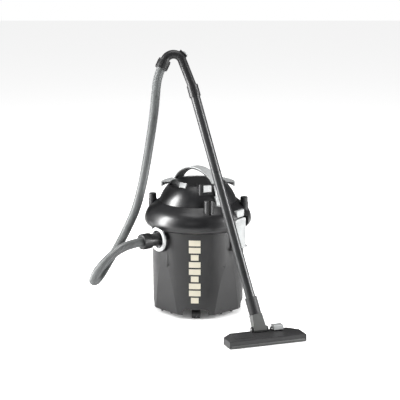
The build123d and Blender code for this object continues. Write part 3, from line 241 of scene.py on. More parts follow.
# ------------------------------------------------------------------ shader groups
class ShaderGroups:
    """The shared effects: moulded grain, handling wear and settled dust."""

    def __init__(self) -> None:
        """Build each group once."""
        self.grain = self._moulded_grain()
        self.wear = self._handling_wear()
        self.dust = self._settled_dust()

    @staticmethod
    def _start(name: str, inputs: dict[str, object],
               outputs: dict[str, str]) -> tuple[NodeKit, bpy.types.NodeOutputs, bpy.types.Node]:
        """Start a group with named sockets.

        Args:
            name: Name of the group.
            inputs: Default of each input: 3 numbers for a vector, 4 for a colour, or one number.
            outputs: Socket type of each output.
        """
        tree = bpy.data.node_groups.new(name, "ShaderNodeTree")
        for label, default in inputs.items():
            size = len(default) if isinstance(default, tuple) else 1
            kind = {1: "NodeSocketFloat", 3: "NodeSocketVector", 4: "NodeSocketColor"}[size]
            tree.interface.new_socket(label, in_out="INPUT", socket_type=kind).default_value = default
        for label, kind in outputs.items():
            tree.interface.new_socket(label, in_out="OUTPUT", socket_type=kind)
        kit = NodeKit(tree)
        return kit, kit.node("NodeGroupInput").outputs, kit.node("NodeGroupOutput")

    def _moulded_grain(self) -> bpy.types.NodeTree:
        """Fine spark-eroded grain with a slow swell under it.

        Returns:
            A group that puts out a height.
        """
        kit, source, out = self._start(
            "moulded_grain", {"Vector": (0.0, 0.0, 0.0), "Grain Scale": 1500.0, "Swell": 0.15},
            {"Height": "NodeSocketFloat"})
        fine = kit.noise(source["Vector"], source["Grain Scale"], 2.0)
        slow = kit.noise(source["Vector"], 9.0, 1.0)
        kit.fill(out, {"Height": kit.math("ADD", fine, kit.math("MULTIPLY", slow, source["Swell"]))})
        return kit.tree

    def _handling_wear(self) -> bpy.types.NodeTree:
        """Cloudy polish from hands and cloths, with fine scuffs across it.

        Returns:
            A group that puts out a mask and a roughness.
        """
        kit, source, out = self._start(
            "handling_wear", {"Vector": (0.0, 0.0, 0.0), "Roughness": 0.4, "Spread": 0.08, "Scuffs": 0.1},
            {"Mask": "NodeSocketFloat", "Roughness": "NodeSocketFloat"})
        stretch = kit.node("ShaderNodeMapping", {
            "Vector": source["Vector"], "Scale": (260.0, 260.0, 18.0), "Rotation": (0.3, 0.5, 0.2)})
        scuff = kit.map_range(kit.noise(stretch.outputs["Vector"], 1.0, 2.0), from_min=0.66, from_max=0.78)
        mask = kit.math("MULTIPLY", scuff, source["Scuffs"])
        polish = kit.map_range(
            kit.noise(source["Vector"], 22.0, 4.0), from_min=0.3, from_max=0.7,
            to_min=kit.math("SUBTRACT", source["Roughness"], source["Spread"]),
            to_max=kit.math("ADD", source["Roughness"], source["Spread"]))
        kit.fill(out, {"Mask": mask, "Roughness": kit.math("ADD", polish, mask)})
        return kit.tree

    def _settled_dust(self) -> bpy.types.NodeTree:
        """Pale dust on faces that look up, broken by noise.

        Returns:
            A group that puts out a colour.
        """
        kit, source, out = self._start(
            "settled_dust", {"Vector": (0.0, 0.0, 0.0), "Colour": (0.1, 0.1, 0.1, 1.0),
                             "Dust": (0.45, 0.43, 0.40, 1.0), "Amount": 0.06, "Mottle": 0.06},
            {"Colour": "NodeSocketColor"})
        normal = kit.node("ShaderNodeNewGeometry").outputs["Normal"]
        upward = kit.map_range(kit.node("ShaderNodeSeparateXYZ", {0: normal}).outputs["Z"], from_min=0.35)
        speckle = kit.noise(source["Vector"], 60.0, 5.0)
        share = kit.math("MULTIPLY", kit.math("MULTIPLY", upward, speckle), source["Amount"])
        tone = kit.map_range(speckle, from_min=0.35, from_max=0.65, to_min=-1.0)
        value = kit.math("MULTIPLY_ADD", tone, source["Mottle"], 1.0)
        shade = kit.node("ShaderNodeHueSaturation", {"Value": value, "Color": source["Colour"]})
        layer = kit.node("ShaderNodeMix", {"Factor": share, "A": shade.outputs["Color"], "B": source["Dust"]},
                         data_type="RGBA")
        kit.fill(out, {"Colour": layer.outputs["Result"]})
        return kit.tree


GROUPS = ShaderGroups()


# ------------------------------------------------------------------ finishes
@dataclass(frozen=True)
class Finish:
    """One surface finish, made into a material when it is first used."""

    name: str
    slot: str
    colour: Triple
    roughness: float
    spread: float = 0.06
    scuffs: float = 0.06
    metallic: float = 0.0
    coat: float = 0.0
    coat_roughness: float = 0.08
    specular: float = 0.5
    grain: float = 0.0
    grain_scale: float = 1500.0
    grain_depth: float = 0.0004
    swell: float = 0.15
    dust: float = 0.05
    mottle: float = 0.04

    def material(self) -> bpy.types.Material:
        """Find or build the material of this finish.

        Returns:
            The material, with its Principled shader fed by the shared groups.
        """
        made = bpy.data.materials.get(self.name)
        if made:
            return made
        made = bpy.data.materials.new(self.name)
        made.use_nodes = True
        made.diffuse_color = (*self.colour, 1.0)
        kit = NodeKit(made.node_tree)
        where = kit.node("ShaderNodeTexCoord").outputs["Object"]
        dust = kit.node("ShaderNodeGroup", {"Vector": where, "Colour": (*self.colour, 1.0), "Amount": self.dust,
                                            "Mottle": self.mottle}, node_tree=GROUPS.dust)
        wear = kit.node("ShaderNodeGroup", {"Vector": where, "Roughness": self.roughness, "Spread": self.spread,
                                            "Scuffs": self.scuffs}, node_tree=GROUPS.wear)
        shader = kit.fill(made.node_tree.nodes["Principled BSDF"], {
            "Metallic": self.metallic, "Coat Weight": self.coat, "Coat Roughness": self.coat_roughness,
            "Specular IOR Level": self.specular, "Base Color": dust.outputs["Colour"],
            "Roughness": wear.outputs["Roughness"]})
        if self.grain > 0:
            grain = kit.node("ShaderNodeGroup", {"Vector": where, "Grain Scale": self.grain_scale,
                                                 "Swell": self.swell}, node_tree=GROUPS.grain)
            bump = kit.node("ShaderNodeBump", {"Strength": self.grain, "Distance": self.grain_depth,
                                               "Height": grain.outputs["Height"]})
            kit.fill(shader, {"Normal": bump.outputs["Normal"]})
        return made


TANK = Finish("charcoal_tank", "tank_plastic", (0.0165, 0.0165, 0.017), 0.36, grain=0.3, dust=0.004)
GLOSS = Finish("gloss_black_shell", "gloss_black", (0.009, 0.009, 0.010), 0.33, spread=0.04, scuffs=0.04,
               coat=0.25, coat_roughness=0.22, grain=0.05, grain_scale=700.0, dust=0.008)
BLACK = Finish("satin_black_moulding", "black_plastic", (0.012, 0.012, 0.013), 0.36, grain=0.2, dust=0.01)
MATT = Finish("matt_black_moulding", "black_plastic", (0.010, 0.010, 0.011), 0.52, grain=0.5, dust=0.015)
SILVER = Finish("silver_paint", "silver_plastic", (0.74, 0.75, 0.75), 0.30, metallic=0.15, coat=0.4, dust=0.0)
LIGHT = Finish("light_grey_moulding", "light_grey_plastic", (0.40, 0.41, 0.41), 0.38, grain=0.2, dust=0.01)
MID = Finish("mid_grey_moulding", "mid_grey_plastic", (0.085, 0.088, 0.085), 0.42, grain=0.3, dust=0.02)
NOZZLE = Finish("slate_nozzle_moulding", "black_plastic", (0.022, 0.022, 0.023), 0.38, grain=0.35, dust=0.02)
RUBBER = Finish("grey_black_rubber", "rubber", (0.03, 0.03, 0.032), 0.7, grain=0.5, dust=0.08)
STEEL = Finish("zinc_steel", "steel", (0.62, 0.62, 0.64), 0.3, metallic=1.0, dust=0.0)
IRON = Finish("varnished_laminations", "motor_iron", (0.20, 0.15, 0.12), 0.45, metallic=0.5, dust=0.0)
CLOTH = Finish("filter_cloth", "filter_cloth", (0.66, 0.63, 0.56), 0.9, grain=1.0, grain_scale=900.0)
HOSE = Finish("grey_hose", "hose_plastic", (0.115, 0.121, 0.121), 0.40, scuffs=0.08, dust=0.02, mottle=0.06)
TUBE = Finish("dark_wand_tube", "tube_plastic", (0.024, 0.025, 0.026), 0.32, scuffs=0.08, dust=0.01)
BRISTLE = Finish("nylon_bristle", "bristle", (0.03, 0.03, 0.032), 0.6, dust=0.0)
CREAM = Finish("cream_print", "tank_plastic", (0.66, 0.62, 0.50), 0.5, dust=0.0, mottle=0.02)


# ------------------------------------------------------------------ mesh tools
class Edge(Enum):
    """How softly a moulded edge is rounded, as the bevel's width in metres."""

    NONE = 0.0
    CRISP = 0.0003
    FINE = 0.0006
    SOFT = 0.0012
    ROUND = 0.002


def link(obj: bpy.types.Object) -> bpy.types.Object:
    """Put an object in the scene and return it."""
    bpy.context.collection.objects.link(obj)
    return obj


def form_object(form: bmesh.types.BMesh, name: str) -> bpy.types.Object:
    """Turn a form into a new object in the scene, and free the form.

    Args:
        form: The form.
        name: Name of the object.

    Returns:
        The new object, at the origin.
    """
    mesh = bpy.data.meshes.new(name)
    form.to_mesh(mesh)
    form.free()
    return link(bpy.data.objects.new(name, mesh))


def smooth_by_angle(mesh: bpy.types.Mesh, degrees: float) -> None:
    """Shade a mesh smooth, but for edges that turn more than an angle.

    Args:
        mesh: The mesh to shade.
        degrees: The largest turn that stays smooth.
    """
    form = bmesh.new()
    form.from_mesh(mesh)
    limit = math.radians(degrees)
    for face in form.faces:
        face.smooth = True
    for edge in form.edges:
        edge.smooth = len(edge.link_faces) == 2 and edge.calc_face_angle(0.0) < limit
    form.to_mesh(mesh)
    form.free()


def node_copy(node: str, name: str) -> bpy.types.Object:
    """Copy a CAD node's mesh, with its loose triangles merged and its flat faces joined.

    Args:
        node: Name of the CAD node.
        name: Name of the new piece.

    Returns:
        The new object, at the origin.
    """
    form = bmesh.new()
    form.from_mesh(frame["nodes"][node].data)
    bmesh.ops.remove_doubles(form, verts=form.verts, dist=2e-6)
    bmesh.ops.dissolve_limit(form, angle_limit=math.radians(0.6), verts=form.verts, edges=form.edges)
    piece = form_object(form, name)
    piece.data.materials.clear()
    return piece


def soften(obj: bpy.types.Object, edge: Edge, degrees: float = 32.0) -> None:
    """Round the sharp edges of a piece and shade it smooth.

    Args:
        obj: The piece.
        edge: How softly its edges are rounded.
        degrees: The turn past which an edge counts as sharp.
    """
    smooth_by_angle(obj.data, degrees)
    if edge is Edge.NONE:
        return
    bevel = obj.modifiers.new("edge_round", "BEVEL")
    bevel.width = edge.value
    bevel.segments = 2
    bevel.limit_method = "ANGLE"
    bevel.angle_limit = math.radians(degrees)
    bevel.use_clamp_overlap = True
    bevel.harden_normals = True
    bevel.miter_outer = "MITER_ARC"


def dress(obj: bpy.types.Object, finish: Finish, body: str, *nodes: str) -> bpy.types.Object:
    """Give a piece its finish and hand it to its body.

    Args:
        obj: The piece.
        finish: Its finish.
        body: The CAD body that it rides on.
        nodes: The CAD nodes that it stands for.

    Returns:
        The piece.
    """
    if not obj.data.materials:
        obj.data.materials.append(finish.material())
    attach(obj, body)
    if nodes:
        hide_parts(*nodes)
    LOG.info("piece %s rides on %s, finish %s", obj.name, body, finish.name)
    return obj


def dressed_node(node: str, finish: Finish, body: str, edge: Edge = Edge.FINE) -> bpy.types.Object:
    """Make the finished piece of one CAD node: softened edges, finish and body.

    Args:
        node: Name of the CAD node.
        finish: Its finish.
        body: The CAD body that it rides on.
        edge: How softly its edges are rounded.

    Returns:
        The piece.
    """
    obj = node_copy(node, f"{node}_skin")
    soften(obj, edge)
    return dress(obj, finish, body, node)


def dressed_nodes(body: str, *rows: tuple[str, Finish, Edge]) -> None:
    """Make the finished pieces of several CAD nodes on one body.

    Args:
        body: The CAD body that they ride on.
        rows: Node, finish and edge of each piece.
    """
    for node, finish, edge in rows:
        dressed_node(node, finish, body, edge)


def islands(node: str) -> list[list[Vector]]:
    """Split a CAD node's vertices into its separate solids.

    Args:
        node: Name of the CAD node.

    Returns:
        One list of points for each solid.
    """
    form = bmesh.new()
    form.from_mesh(frame["nodes"][node].data)
    bmesh.ops.remove_doubles(form, verts=form.verts, dist=2e-6)
    seen: set[int] = set()
    groups: list[list[Vector]] = []
    form.verts.ensure_lookup_table()
    for first in form.verts:
        if first.index in seen:
            continue
        stack, found = [first], []
        seen.add(first.index)
        while stack:
            vert = stack.pop()
            found.append(vert.co.copy())
            for edge in vert.link_edges:
                other = edge.other_vert(vert)
                if other.index not in seen:
                    seen.add(other.index)
                    stack.append(other)
        groups.append(found)
    form.free()
    return groups


def outer_end(points: Sequence[Vector], out: Vector) -> Vector:
    """Centre of the end face of a rod-like solid that lies furthest along a direction.

    Args:
        points: The solid's points.
        out: The outward direction.

    Returns:
        The middle of that end.
    """
    reach = max(point.dot(out) for point in points)
    face = [point for point in points if point.dot(out) > reach - 1e-4]
    return sum(face, Vector()) / len(face)


def mesh_piece(name: str, verts: Sequence[Sequence[float]], faces: Sequence[Sequence[int]]) -> bpy.types.Object:
    """Make an object from points and faces.

    Args:
        name: Name of the object.
        verts: Its points.
        faces: Its faces.

    Returns:
        The new object, at the origin.
    """
    mesh = bpy.data.meshes.new(name)
    mesh.from_pydata([tuple(vert) for vert in verts], [], [tuple(face) for face in faces])
    mesh.update()
    return link(bpy.data.objects.new(name, mesh))


# ------------------------------------------------------------------ geometry trees
class GeometryTree(NodeKit):
    """A geometry tree under construction, with named inputs."""

    def __init__(self, name: str, inputs: Sequence[tuple[str, str, object]]) -> None:
        """Start the tree.

        Args:
            name: Name of the tree.
            inputs: Name, socket type and default of each input after the geometry.
        """
        super().__init__(bpy.data.node_groups.new(name, "GeometryNodeTree"))
        self.tree.interface.new_socket("Geometry", in_out="INPUT", socket_type="NodeSocketGeometry")
        for label, kind, default in inputs:
            socket = self.tree.interface.new_socket(label, in_out="INPUT", socket_type=kind)
            if default is not None:
                socket.default_value = default
        self.tree.interface.new_socket("Geometry", in_out="OUTPUT", socket_type="NodeSocketGeometry")
        self.start = self.tree.nodes.new("NodeGroupInput")
        self.end = self.tree.nodes.new("NodeGroupOutput")

    def finish(self, geometry: bpy.types.NodeSocket) -> bpy.types.NodeTree:
        """End the tree in Realize Instances and Set Material.

        Args:
            geometry: The geometry to put out.

        Returns:
            The finished tree, which has an input named "Material".
        """
        real = self.node("GeometryNodeRealizeInstances", {"Geometry": geometry})
        coat = self.node("GeometryNodeSetMaterial", {"Geometry": real.outputs["Geometry"],
                                                     "Material": self.start.outputs["Material"]})
        self.join(coat.outputs["Geometry"], self.end.inputs["Geometry"])
        return self.tree


def grown(seed: bpy.types.Object, tree: bpy.types.NodeTree, values: dict[str, object],
          name: str) -> bpy.types.Object:
    """Run a geometry tree on a seed object and keep the result as a plain mesh.

    Args:
        seed: The object that the tree starts from; it is removed.
        tree: The geometry tree.
        values: The tree's inputs by name.
        name: Name of the new piece.

    Returns:
        The new object, at the origin, with no modifier.
    """
    modifier = seed.modifiers.new("grow", "NODES")
    modifier.node_group = tree
    for item in tree.interface.items_tree:
        if item.item_type == "SOCKET" and item.in_out == "INPUT" and item.name in values:
            modifier[item.identifier] = values[item.name]
    seed.update_tag()
    depsgraph = bpy.context.evaluated_depsgraph_get()
    mesh = bpy.data.meshes.new_from_object(seed.evaluated_get(depsgraph))
    mesh.name = name
    bpy.data.objects.remove(seed)
    return link(bpy.data.objects.new(name, mesh))


def repeat_tree() -> bpy.types.NodeTree:
    """Tree that puts one small part at each point of the seed mesh, facing its "out" attribute.

    Returns:
        The tree, with inputs Part, Size, Size Spread, Tilt, Twist, Seed and Material.
    """
    made = GeometryTree("repeated_part", [
        ("Part", "NodeSocketObject", None), ("Size", "NodeSocketFloat", 1.0),
        ("Size Spread", "NodeSocketFloat", 0.0), ("Tilt", "NodeSocketFloat", 0.0),
        ("Twist", "NodeSocketFloat", 0.0), ("Seed", "NodeSocketInt", 7),
        ("Material", "NodeSocketMaterial", None)])
    put = made.start.outputs
    points = made.node("GeometryNodeMeshToPoints", {"Mesh": put["Geometry"]})
    part = made.node("GeometryNodeObjectInfo", {"Object": put["Part"]})
    out, along = (made.node("GeometryNodeInputNamedAttribute", {"Name": label}, data_type="FLOAT_VECTOR")
                  .outputs["Attribute"] for label in ("out", "along"))
    face = made.node("FunctionNodeAxesToRotation", {"Primary Axis": out, "Secondary Axis": along},
                     primary_axis="Z", secondary_axis="X")
    swing = {"X": put["Tilt"], "Y": put["Tilt"], "Z": put["Twist"]}
    angle = made.node("ShaderNodeCombineXYZ", swing).outputs[0]
    less = made.node("ShaderNodeVectorMath", {0: angle, "Scale": -1.0}, operation="SCALE").outputs[0]
    tilt = made.node("FunctionNodeRandomValue", {"Max": angle, "Min": less, "Seed": put["Seed"]},
                     data_type="FLOAT_VECTOR")
    turn = made.node("FunctionNodeEulerToRotation", {0: tilt.outputs["Value"]})
    both = made.node("FunctionNodeRotateRotation", {0: face.outputs[0], 1: turn.outputs[0]},
                     rotation_space="LOCAL")
    spread = made.node("FunctionNodeRandomValue", data_type="FLOAT")
    made.join(put["Seed"], next(s for s in spread.inputs if s.name == "Seed"))
    least, most = [s for s in spread.inputs if s.type == "VALUE"][:2]
    made.join(made.math("SUBTRACT", put["Size"], put["Size Spread"]), least)
    made.join(put["Size"], most)
    size = next(s for s in spread.outputs if s.type == "VALUE" and s.enabled)
    put_on = made.node("GeometryNodeInstanceOnPoints", {
        "Points": points.outputs[0], "Instance": part.outputs["Geometry"], "Rotation": both.outputs[0],
        "Scale": size})
    return made.finish(put_on.outputs["Instances"])


def corrugation_tree() -> bpy.types.NodeTree:
    """Tree that turns a curve into a ribbed hose wall.

    Returns:
        The tree, with inputs Radius, Depth, Pitch, Sides and Material.
    """
    made = GeometryTree("corrugated_hose", [
        ("Radius", "NodeSocketFloat", 0.0155), ("Depth", "NodeSocketFloat", 0.0015),
        ("Pitch", "NodeSocketFloat", 0.0048), ("Sides", "NodeSocketInt", 22),
        ("Material", "NodeSocketMaterial", None)])
    put = made.start.outputs
    per_rib = 6.0
    steps = made.node("GeometryNodeResampleCurve", {
        "Curve": put["Geometry"], "Length": made.math("DIVIDE", put["Pitch"], per_rib)}, mode="LENGTH")
    index = made.node("GeometryNodeInputIndex").outputs[0]
    wave = made.math("COSINE", made.math("MULTIPLY", index, 2.0 * math.pi / per_rib))
    share = made.math("MULTIPLY", made.math("SUBTRACT", 1.0, wave), 0.5)
    radius = made.math("SUBTRACT", put["Radius"], made.math("MULTIPLY", share, put["Depth"]))
    ring = made.node("GeometryNodeCurvePrimitiveCircle", {"Resolution": put["Sides"], "Radius": 1.0})
    wall = made.node("GeometryNodeCurveToMesh", {
        "Fill Caps": True, "Curve": steps.outputs["Curve"], "Scale": radius,
        "Profile Curve": ring.outputs["Curve"]})
    return made.finish(wall.outputs["Mesh"])


def seed_points(name: str, places: Sequence[Vector], outs: Sequence[Vector],
                alongs: Optional[Sequence[Vector]] = None) -> bpy.types.Object:
    """Make the points that a repeated part is put on.

    Args:
        name: Name of the seed.
        places: The points.
        outs: The way each part faces.
        alongs: The way each part's own X looks, or None for upright.

    Returns:
        The seed object.
    """
    mesh = bpy.data.meshes.new(name)
    mesh.from_pydata([tuple(place) for place in places], [], [])
    for label, ways in (("out", outs), ("along", alongs or [Vector((0.3, 0.2, 1.0))] * len(places))):
        attribute = mesh.attributes.new(label, "FLOAT_VECTOR", "POINT")
        for item, way in zip(attribute.data, ways):
            item.vector = way
    return link(bpy.data.objects.new(name, mesh))


REPEAT = repeat_tree()


def repeated(name: str, part: bpy.types.Object, places: Sequence[Vector], outs: Sequence[Vector],
             finish: Finish, alongs: Optional[Sequence[Vector]] = None, size: float = 1.0,
             spread: float = 0.0, tilt: float = 0.0, twist: float = 0.0, seed: int = 7) -> bpy.types.Object:
    """Put copies of a small part on points and keep them as one mesh.

    Args:
        name: Name of the new piece.
        part: The small part, which is removed by the caller.
        places: The points.
        outs: The way each copy faces.
        finish: The finish.
        alongs: The way each copy's own X looks.
        size: Scale of the copies.
        spread: How much smaller a copy may be.
        tilt: Random tilt, in radians.
        twist: Random twist, in radians.
        seed: Seed of the random tilt.

    Returns:
        The new piece.
    """
    values = {"Part": part, "Size": size, "Size Spread": spread, "Tilt": tilt, "Twist": twist, "Seed": seed,
              "Material": finish.material()}
    piece = grown(seed_points(f"{name}_seed", places, outs, alongs), REPEAT, values, name)
    smooth_by_angle(piece.data, 35.0)
    return piece


def lathe(name: str, outline: Sequence[tuple[float, float]], sides: int) -> bpy.types.Object:
    """Turn an outline of radius and height about Z into a closed mesh.

    Args:
        name: Name of the object.
        outline: Points of radius and height, from the axis at the bottom to the axis at the top.
        sides: Number of faces around.

    Returns:
        The new object.
    """
    form = bmesh.new()
    rings: list[list[bmesh.types.BMVert]] = []
    for radius, height in outline:
        if radius < 1e-7:
            rings.append([form.verts.new((0, 0, height))])
            continue
        rings.append([form.verts.new((radius * math.cos(2 * math.pi * side / sides),
                                      radius * math.sin(2 * math.pi * side / sides), height))
                      for side in range(sides)])
    for low, high in zip(rings, rings[1:]):
        for side in range(sides):
            after = (side + 1) % sides
            corners = [low[side % len(low)], low[after % len(low)], high[after % len(high)],
                       high[side % len(high)]]
            form.faces.new(list(dict.fromkeys(corners)))
    bmesh.ops.recalc_face_normals(form, faces=form.faces)
    return form_object(form, name)


def cross_screw(radius: float) -> bpy.types.Object:
    """Pan head with a cross recess, its underside at the origin, facing +Z.

    Args:
        radius: Radius of the head.

    Returns:
        The screw head.
    """
    crown = 0.55 * radius
    outline = [(0, -0.1 * radius), (radius * 0.98, -0.1 * radius), (radius, 0.15 * radius),
               (0.9 * radius, 0.38 * radius), (0.66 * radius, 0.5 * radius), (0.42 * radius, crown),
               (0.3 * radius, crown), (0.2 * radius, 0.15 * radius), (0, 0.1 * radius)]
    head = lathe("screw_head", outline, 20)
    for vert in head.data.vertices:
        spoke = math.hypot(vert.co.x, vert.co.y) / radius
        turn = abs(((math.degrees(math.atan2(vert.co.y, vert.co.x)) + 45.0) % 90.0) - 45.0)
        if vert.co.z > 0.3 * radius and 0.25 < spoke < 0.7 and turn < 14.0:
            vert.co.z -= 0.32 * radius
    return head


# ------------------------------------------------------------------ where things are
def radial(angle: float, radius: float, height: float) -> Vector:
    """Point at a bearing from the front, a radius and a height."""
    turn = math.radians(angle)
    return Vector((radius * math.sin(turn), -radius * math.cos(turn), height))


def outward(angle: float) -> Vector:
    """Level direction away from the axis at a bearing from the front."""
    return radial(angle, 1.0, 0.0)


def joint(name: str) -> dict:
    """The record's entry for one joint."""
    return next(entry for entry in frame["record"]["behaviour"]["joints"] if entry["name"] == name)


def rounded_bar(name: str, length: float, width: float, height: float) -> bpy.types.Object:
    """Small bar along X with rounded edges, its underside at the origin, facing +Z.

    Args:
        name: Name of the object.
        length: Its size along X.
        width: Its size along Y.
        height: Its size along Z.

    Returns:
        The bar.
    """
    form = bmesh.new()
    bmesh.ops.create_cube(form, size=1.0)
    bmesh.ops.scale(form, vec=(length, width, height), verts=form.verts)
    bmesh.ops.translate(form, vec=(0, 0, height / 2 - height * 0.15), verts=form.verts)
    bmesh.ops.bevel(form, geom=form.edges, offset=0.3 * min(width, height), segments=2, affect="EDGES",
                    profile=0.5)
    return form_object(form, name)


def details(name: str, part: bpy.types.Object, body: str, finish: Finish, places: Sequence[Vector],
            outs: Sequence[Vector], alongs: Optional[Sequence[Vector]] = None, **how: float) -> None:
    """Put a small part on points of one body, and remove the part.

    Args:
        name: Name of the new piece.
        part: The small part.
        body: The CAD body that the piece rides on.
        finish: Its finish.
        places: The points.
        outs: The way each copy faces.
        alongs: The way each copy's own X looks.
        how: Size, spread, tilt, twist and seed.
    """
    dress(repeated(name, part, places, outs, finish, alongs, **how), finish, body)
    bpy.data.objects.remove(part)


# ------------------------------------------------------------------ hose
@dataclass
class Hose:
    """Ribbed suction hose from the inlet cuff to the grip cuff."""

    radius: float = 0.0155
    depth: float = 0.0016
    pitch: float = 0.0046
    sides: int = 26
    real_length: float = 1.236
    route: list[Triple] = field(default_factory=lambda: [
        (-0.1846, -0.1391, 0.2760), (-0.2215, -0.1669, 0.2760), (-0.2640, -0.1980, 0.2655),
        (-0.3060, -0.2125, 0.2330), (-0.3410, -0.2010, 0.1885), (-0.3600, -0.1610, 0.1455),
        (-0.3570, -0.1030, 0.1240), (-0.3410, -0.0400, 0.1310), (-0.3150, 0.0120, 0.1680),
        (-0.2780, 0.0310, 0.2280), (-0.2490, 0.0080, 0.2880), (-0.2140, -0.0380, 0.3700),
        (-0.1870, -0.0840, 0.4790), (-0.1660, -0.1080, 0.5980), (-0.1500, -0.1180, 0.7000),
        (-0.1425, -0.1230, 0.7720), (-0.1360, -0.1202, 0.8400), (-0.1178, -0.1084, 0.8793)])

    def spline(self) -> bpy.types.Object:
        """Draw the hose's centre line as one open curve.

        Returns:
            The curve object.
        """
        data = bpy.data.curves.new("hose_line", "CURVE")
        data.dimensions = "3D"
        data.resolution_u = 24
        line = data.splines.new("NURBS")
        line.points.add(len(self.route) - 1)
        for point, place in zip(line.points, self.route):
            point.co = (*place, 1.0)
        line.order_u = 3
        line.use_endpoint_u = True
        return link(bpy.data.objects.new("hose_line", data))

    def build(self) -> None:
        line = self.spline()
        depsgraph = bpy.context.evaluated_depsgraph_get()
        sampled = bpy.data.meshes.new_from_object(line.evaluated_get(depsgraph))
        path = [tuple(vert.co) for vert in sampled.vertices]
        drawn = sum((Vector(b) - Vector(a)).length for a, b in zip(path, path[1:]))
        values = {"Radius": self.radius, "Depth": self.depth, "Pitch": self.pitch, "Sides": self.sides,
                  "Material": HOSE.material()}
        hose = grown(line, corrugation_tree(), values, "ribbed_hose")
        smooth_by_angle(hose.data, 60.0)
        dress(hose, HOSE, "drum", "hose")
        LOG.info("hose drawn %.4f m long, real length %.3f m", drawn, self.real_length)


# ------------------------------------------------------------------ drum
@dataclass
class Drum:
    """Tank, inlet fittings and hinge pins."""

    mark_bearing: float = -4.0
    mark_low: float = 0.062
    mark_high: float = 0.290
    mark_width: float = 0.040
    mark_bars: int = 9
    mark_fill: float = 0.78
    facet_turn: float = 9.0
    mark_proud: float = 0.0003
    cone_low: float = 0.0175
    cone_high: float = 0.306
    cone_radius: float = 0.158
    cone_flare: float = 0.003

    def tank(self) -> None:
        """Dress the tank."""
        tank = node_copy("drum_tank", "drum_tank_skin")
        soften(tank, Edge.SOFT, self.facet_turn)
        dress(tank, TANK, "drum", "drum_tank")

    def tank_radius(self, height: float) -> float:
        """Outer radius of the tank's cone at a height."""
        share = (height - self.cone_low) / (self.cone_high - self.cone_low)
        return self.cone_radius + self.cone_flare * share

    def mark(self) -> None:
        """Print a plain column of cream bars on the front of the tank."""
        verts: list[Vector] = []
        faces: list[tuple[int, ...]] = []
        step = (self.mark_high - self.mark_low) / self.mark_bars
        across = 10
        for bar in range(self.mark_bars):
            low = self.mark_low + bar * step
            high = low + step * self.mark_fill
            half = math.degrees(self.mark_width / 2 / self.tank_radius(low)) * (1.0 if bar % 3 else 0.66)
            start = len(verts)
            for layer in (-0.5, 1.0):
                for height in (low, high):
                    for column in range(across + 1):
                        angle = self.mark_bearing - half + 2 * half * column / across
                        reach = self.tank_radius(height) + layer * self.mark_proud
                        verts.append(radial(angle, reach, height))
            row = across + 1
            grid = [[start + layer * 2 * row + line * row for line in range(2)] for layer in range(2)]
            for column in range(across):
                inner_low, inner_high = grid[0][0] + column, grid[0][1] + column
                outer_low, outer_high = grid[1][0] + column, grid[1][1] + column
                faces.append((outer_low, outer_low + 1, outer_high + 1, outer_high))
                faces.append((inner_low, inner_high, inner_high + 1, inner_low + 1))
                faces.append((inner_low, inner_low + 1, outer_low + 1, outer_low))
                faces.append((inner_high, outer_high, outer_high + 1, inner_high + 1))
            for column in (0, across):
                faces.append((grid[0][0] + column, grid[1][0] + column, grid[1][1] + column,
                              grid[0][1] + column))
        piece = mesh_piece("cream_bars", verts, faces)
        form = bmesh.new()
        form.from_mesh(piece.data)
        bmesh.ops.recalc_face_normals(form, faces=form.faces)
        form.to_mesh(piece.data)
        form.free()
        smooth_by_angle(piece.data, 30.0)
        dress(piece, CREAM, "drum")

    def inlet(self) -> None:
        """Dress the inlet flange, its silver ring and the deflector."""
        dressed_nodes("drum", ("inlet_flange", BLACK, Edge.FINE), ("inlet_ring", SILVER, Edge.SOFT),
                      ("inlet_deflector", BLACK, Edge.FINE), ("inlet_screws", STEEL, Edge.NONE))
        way = Vector(joint("inlet_swivel")["axis"])
        ends = [outer_end(points, way) for points in islands("inlet_screws")]
        details("inlet_screw_heads", cross_screw(0.0034), "drum", STEEL, ends, [way] * len(ends), twist=1.5)

    def build(self) -> None:
        """Build every piece of the drum."""
        self.tank()
        self.mark()
        self.inlet()
        dressed_nodes("drum", ("latch_pins", STEEL, Edge.CRISP), ("rim_gasket", RUBBER, Edge.CRISP))


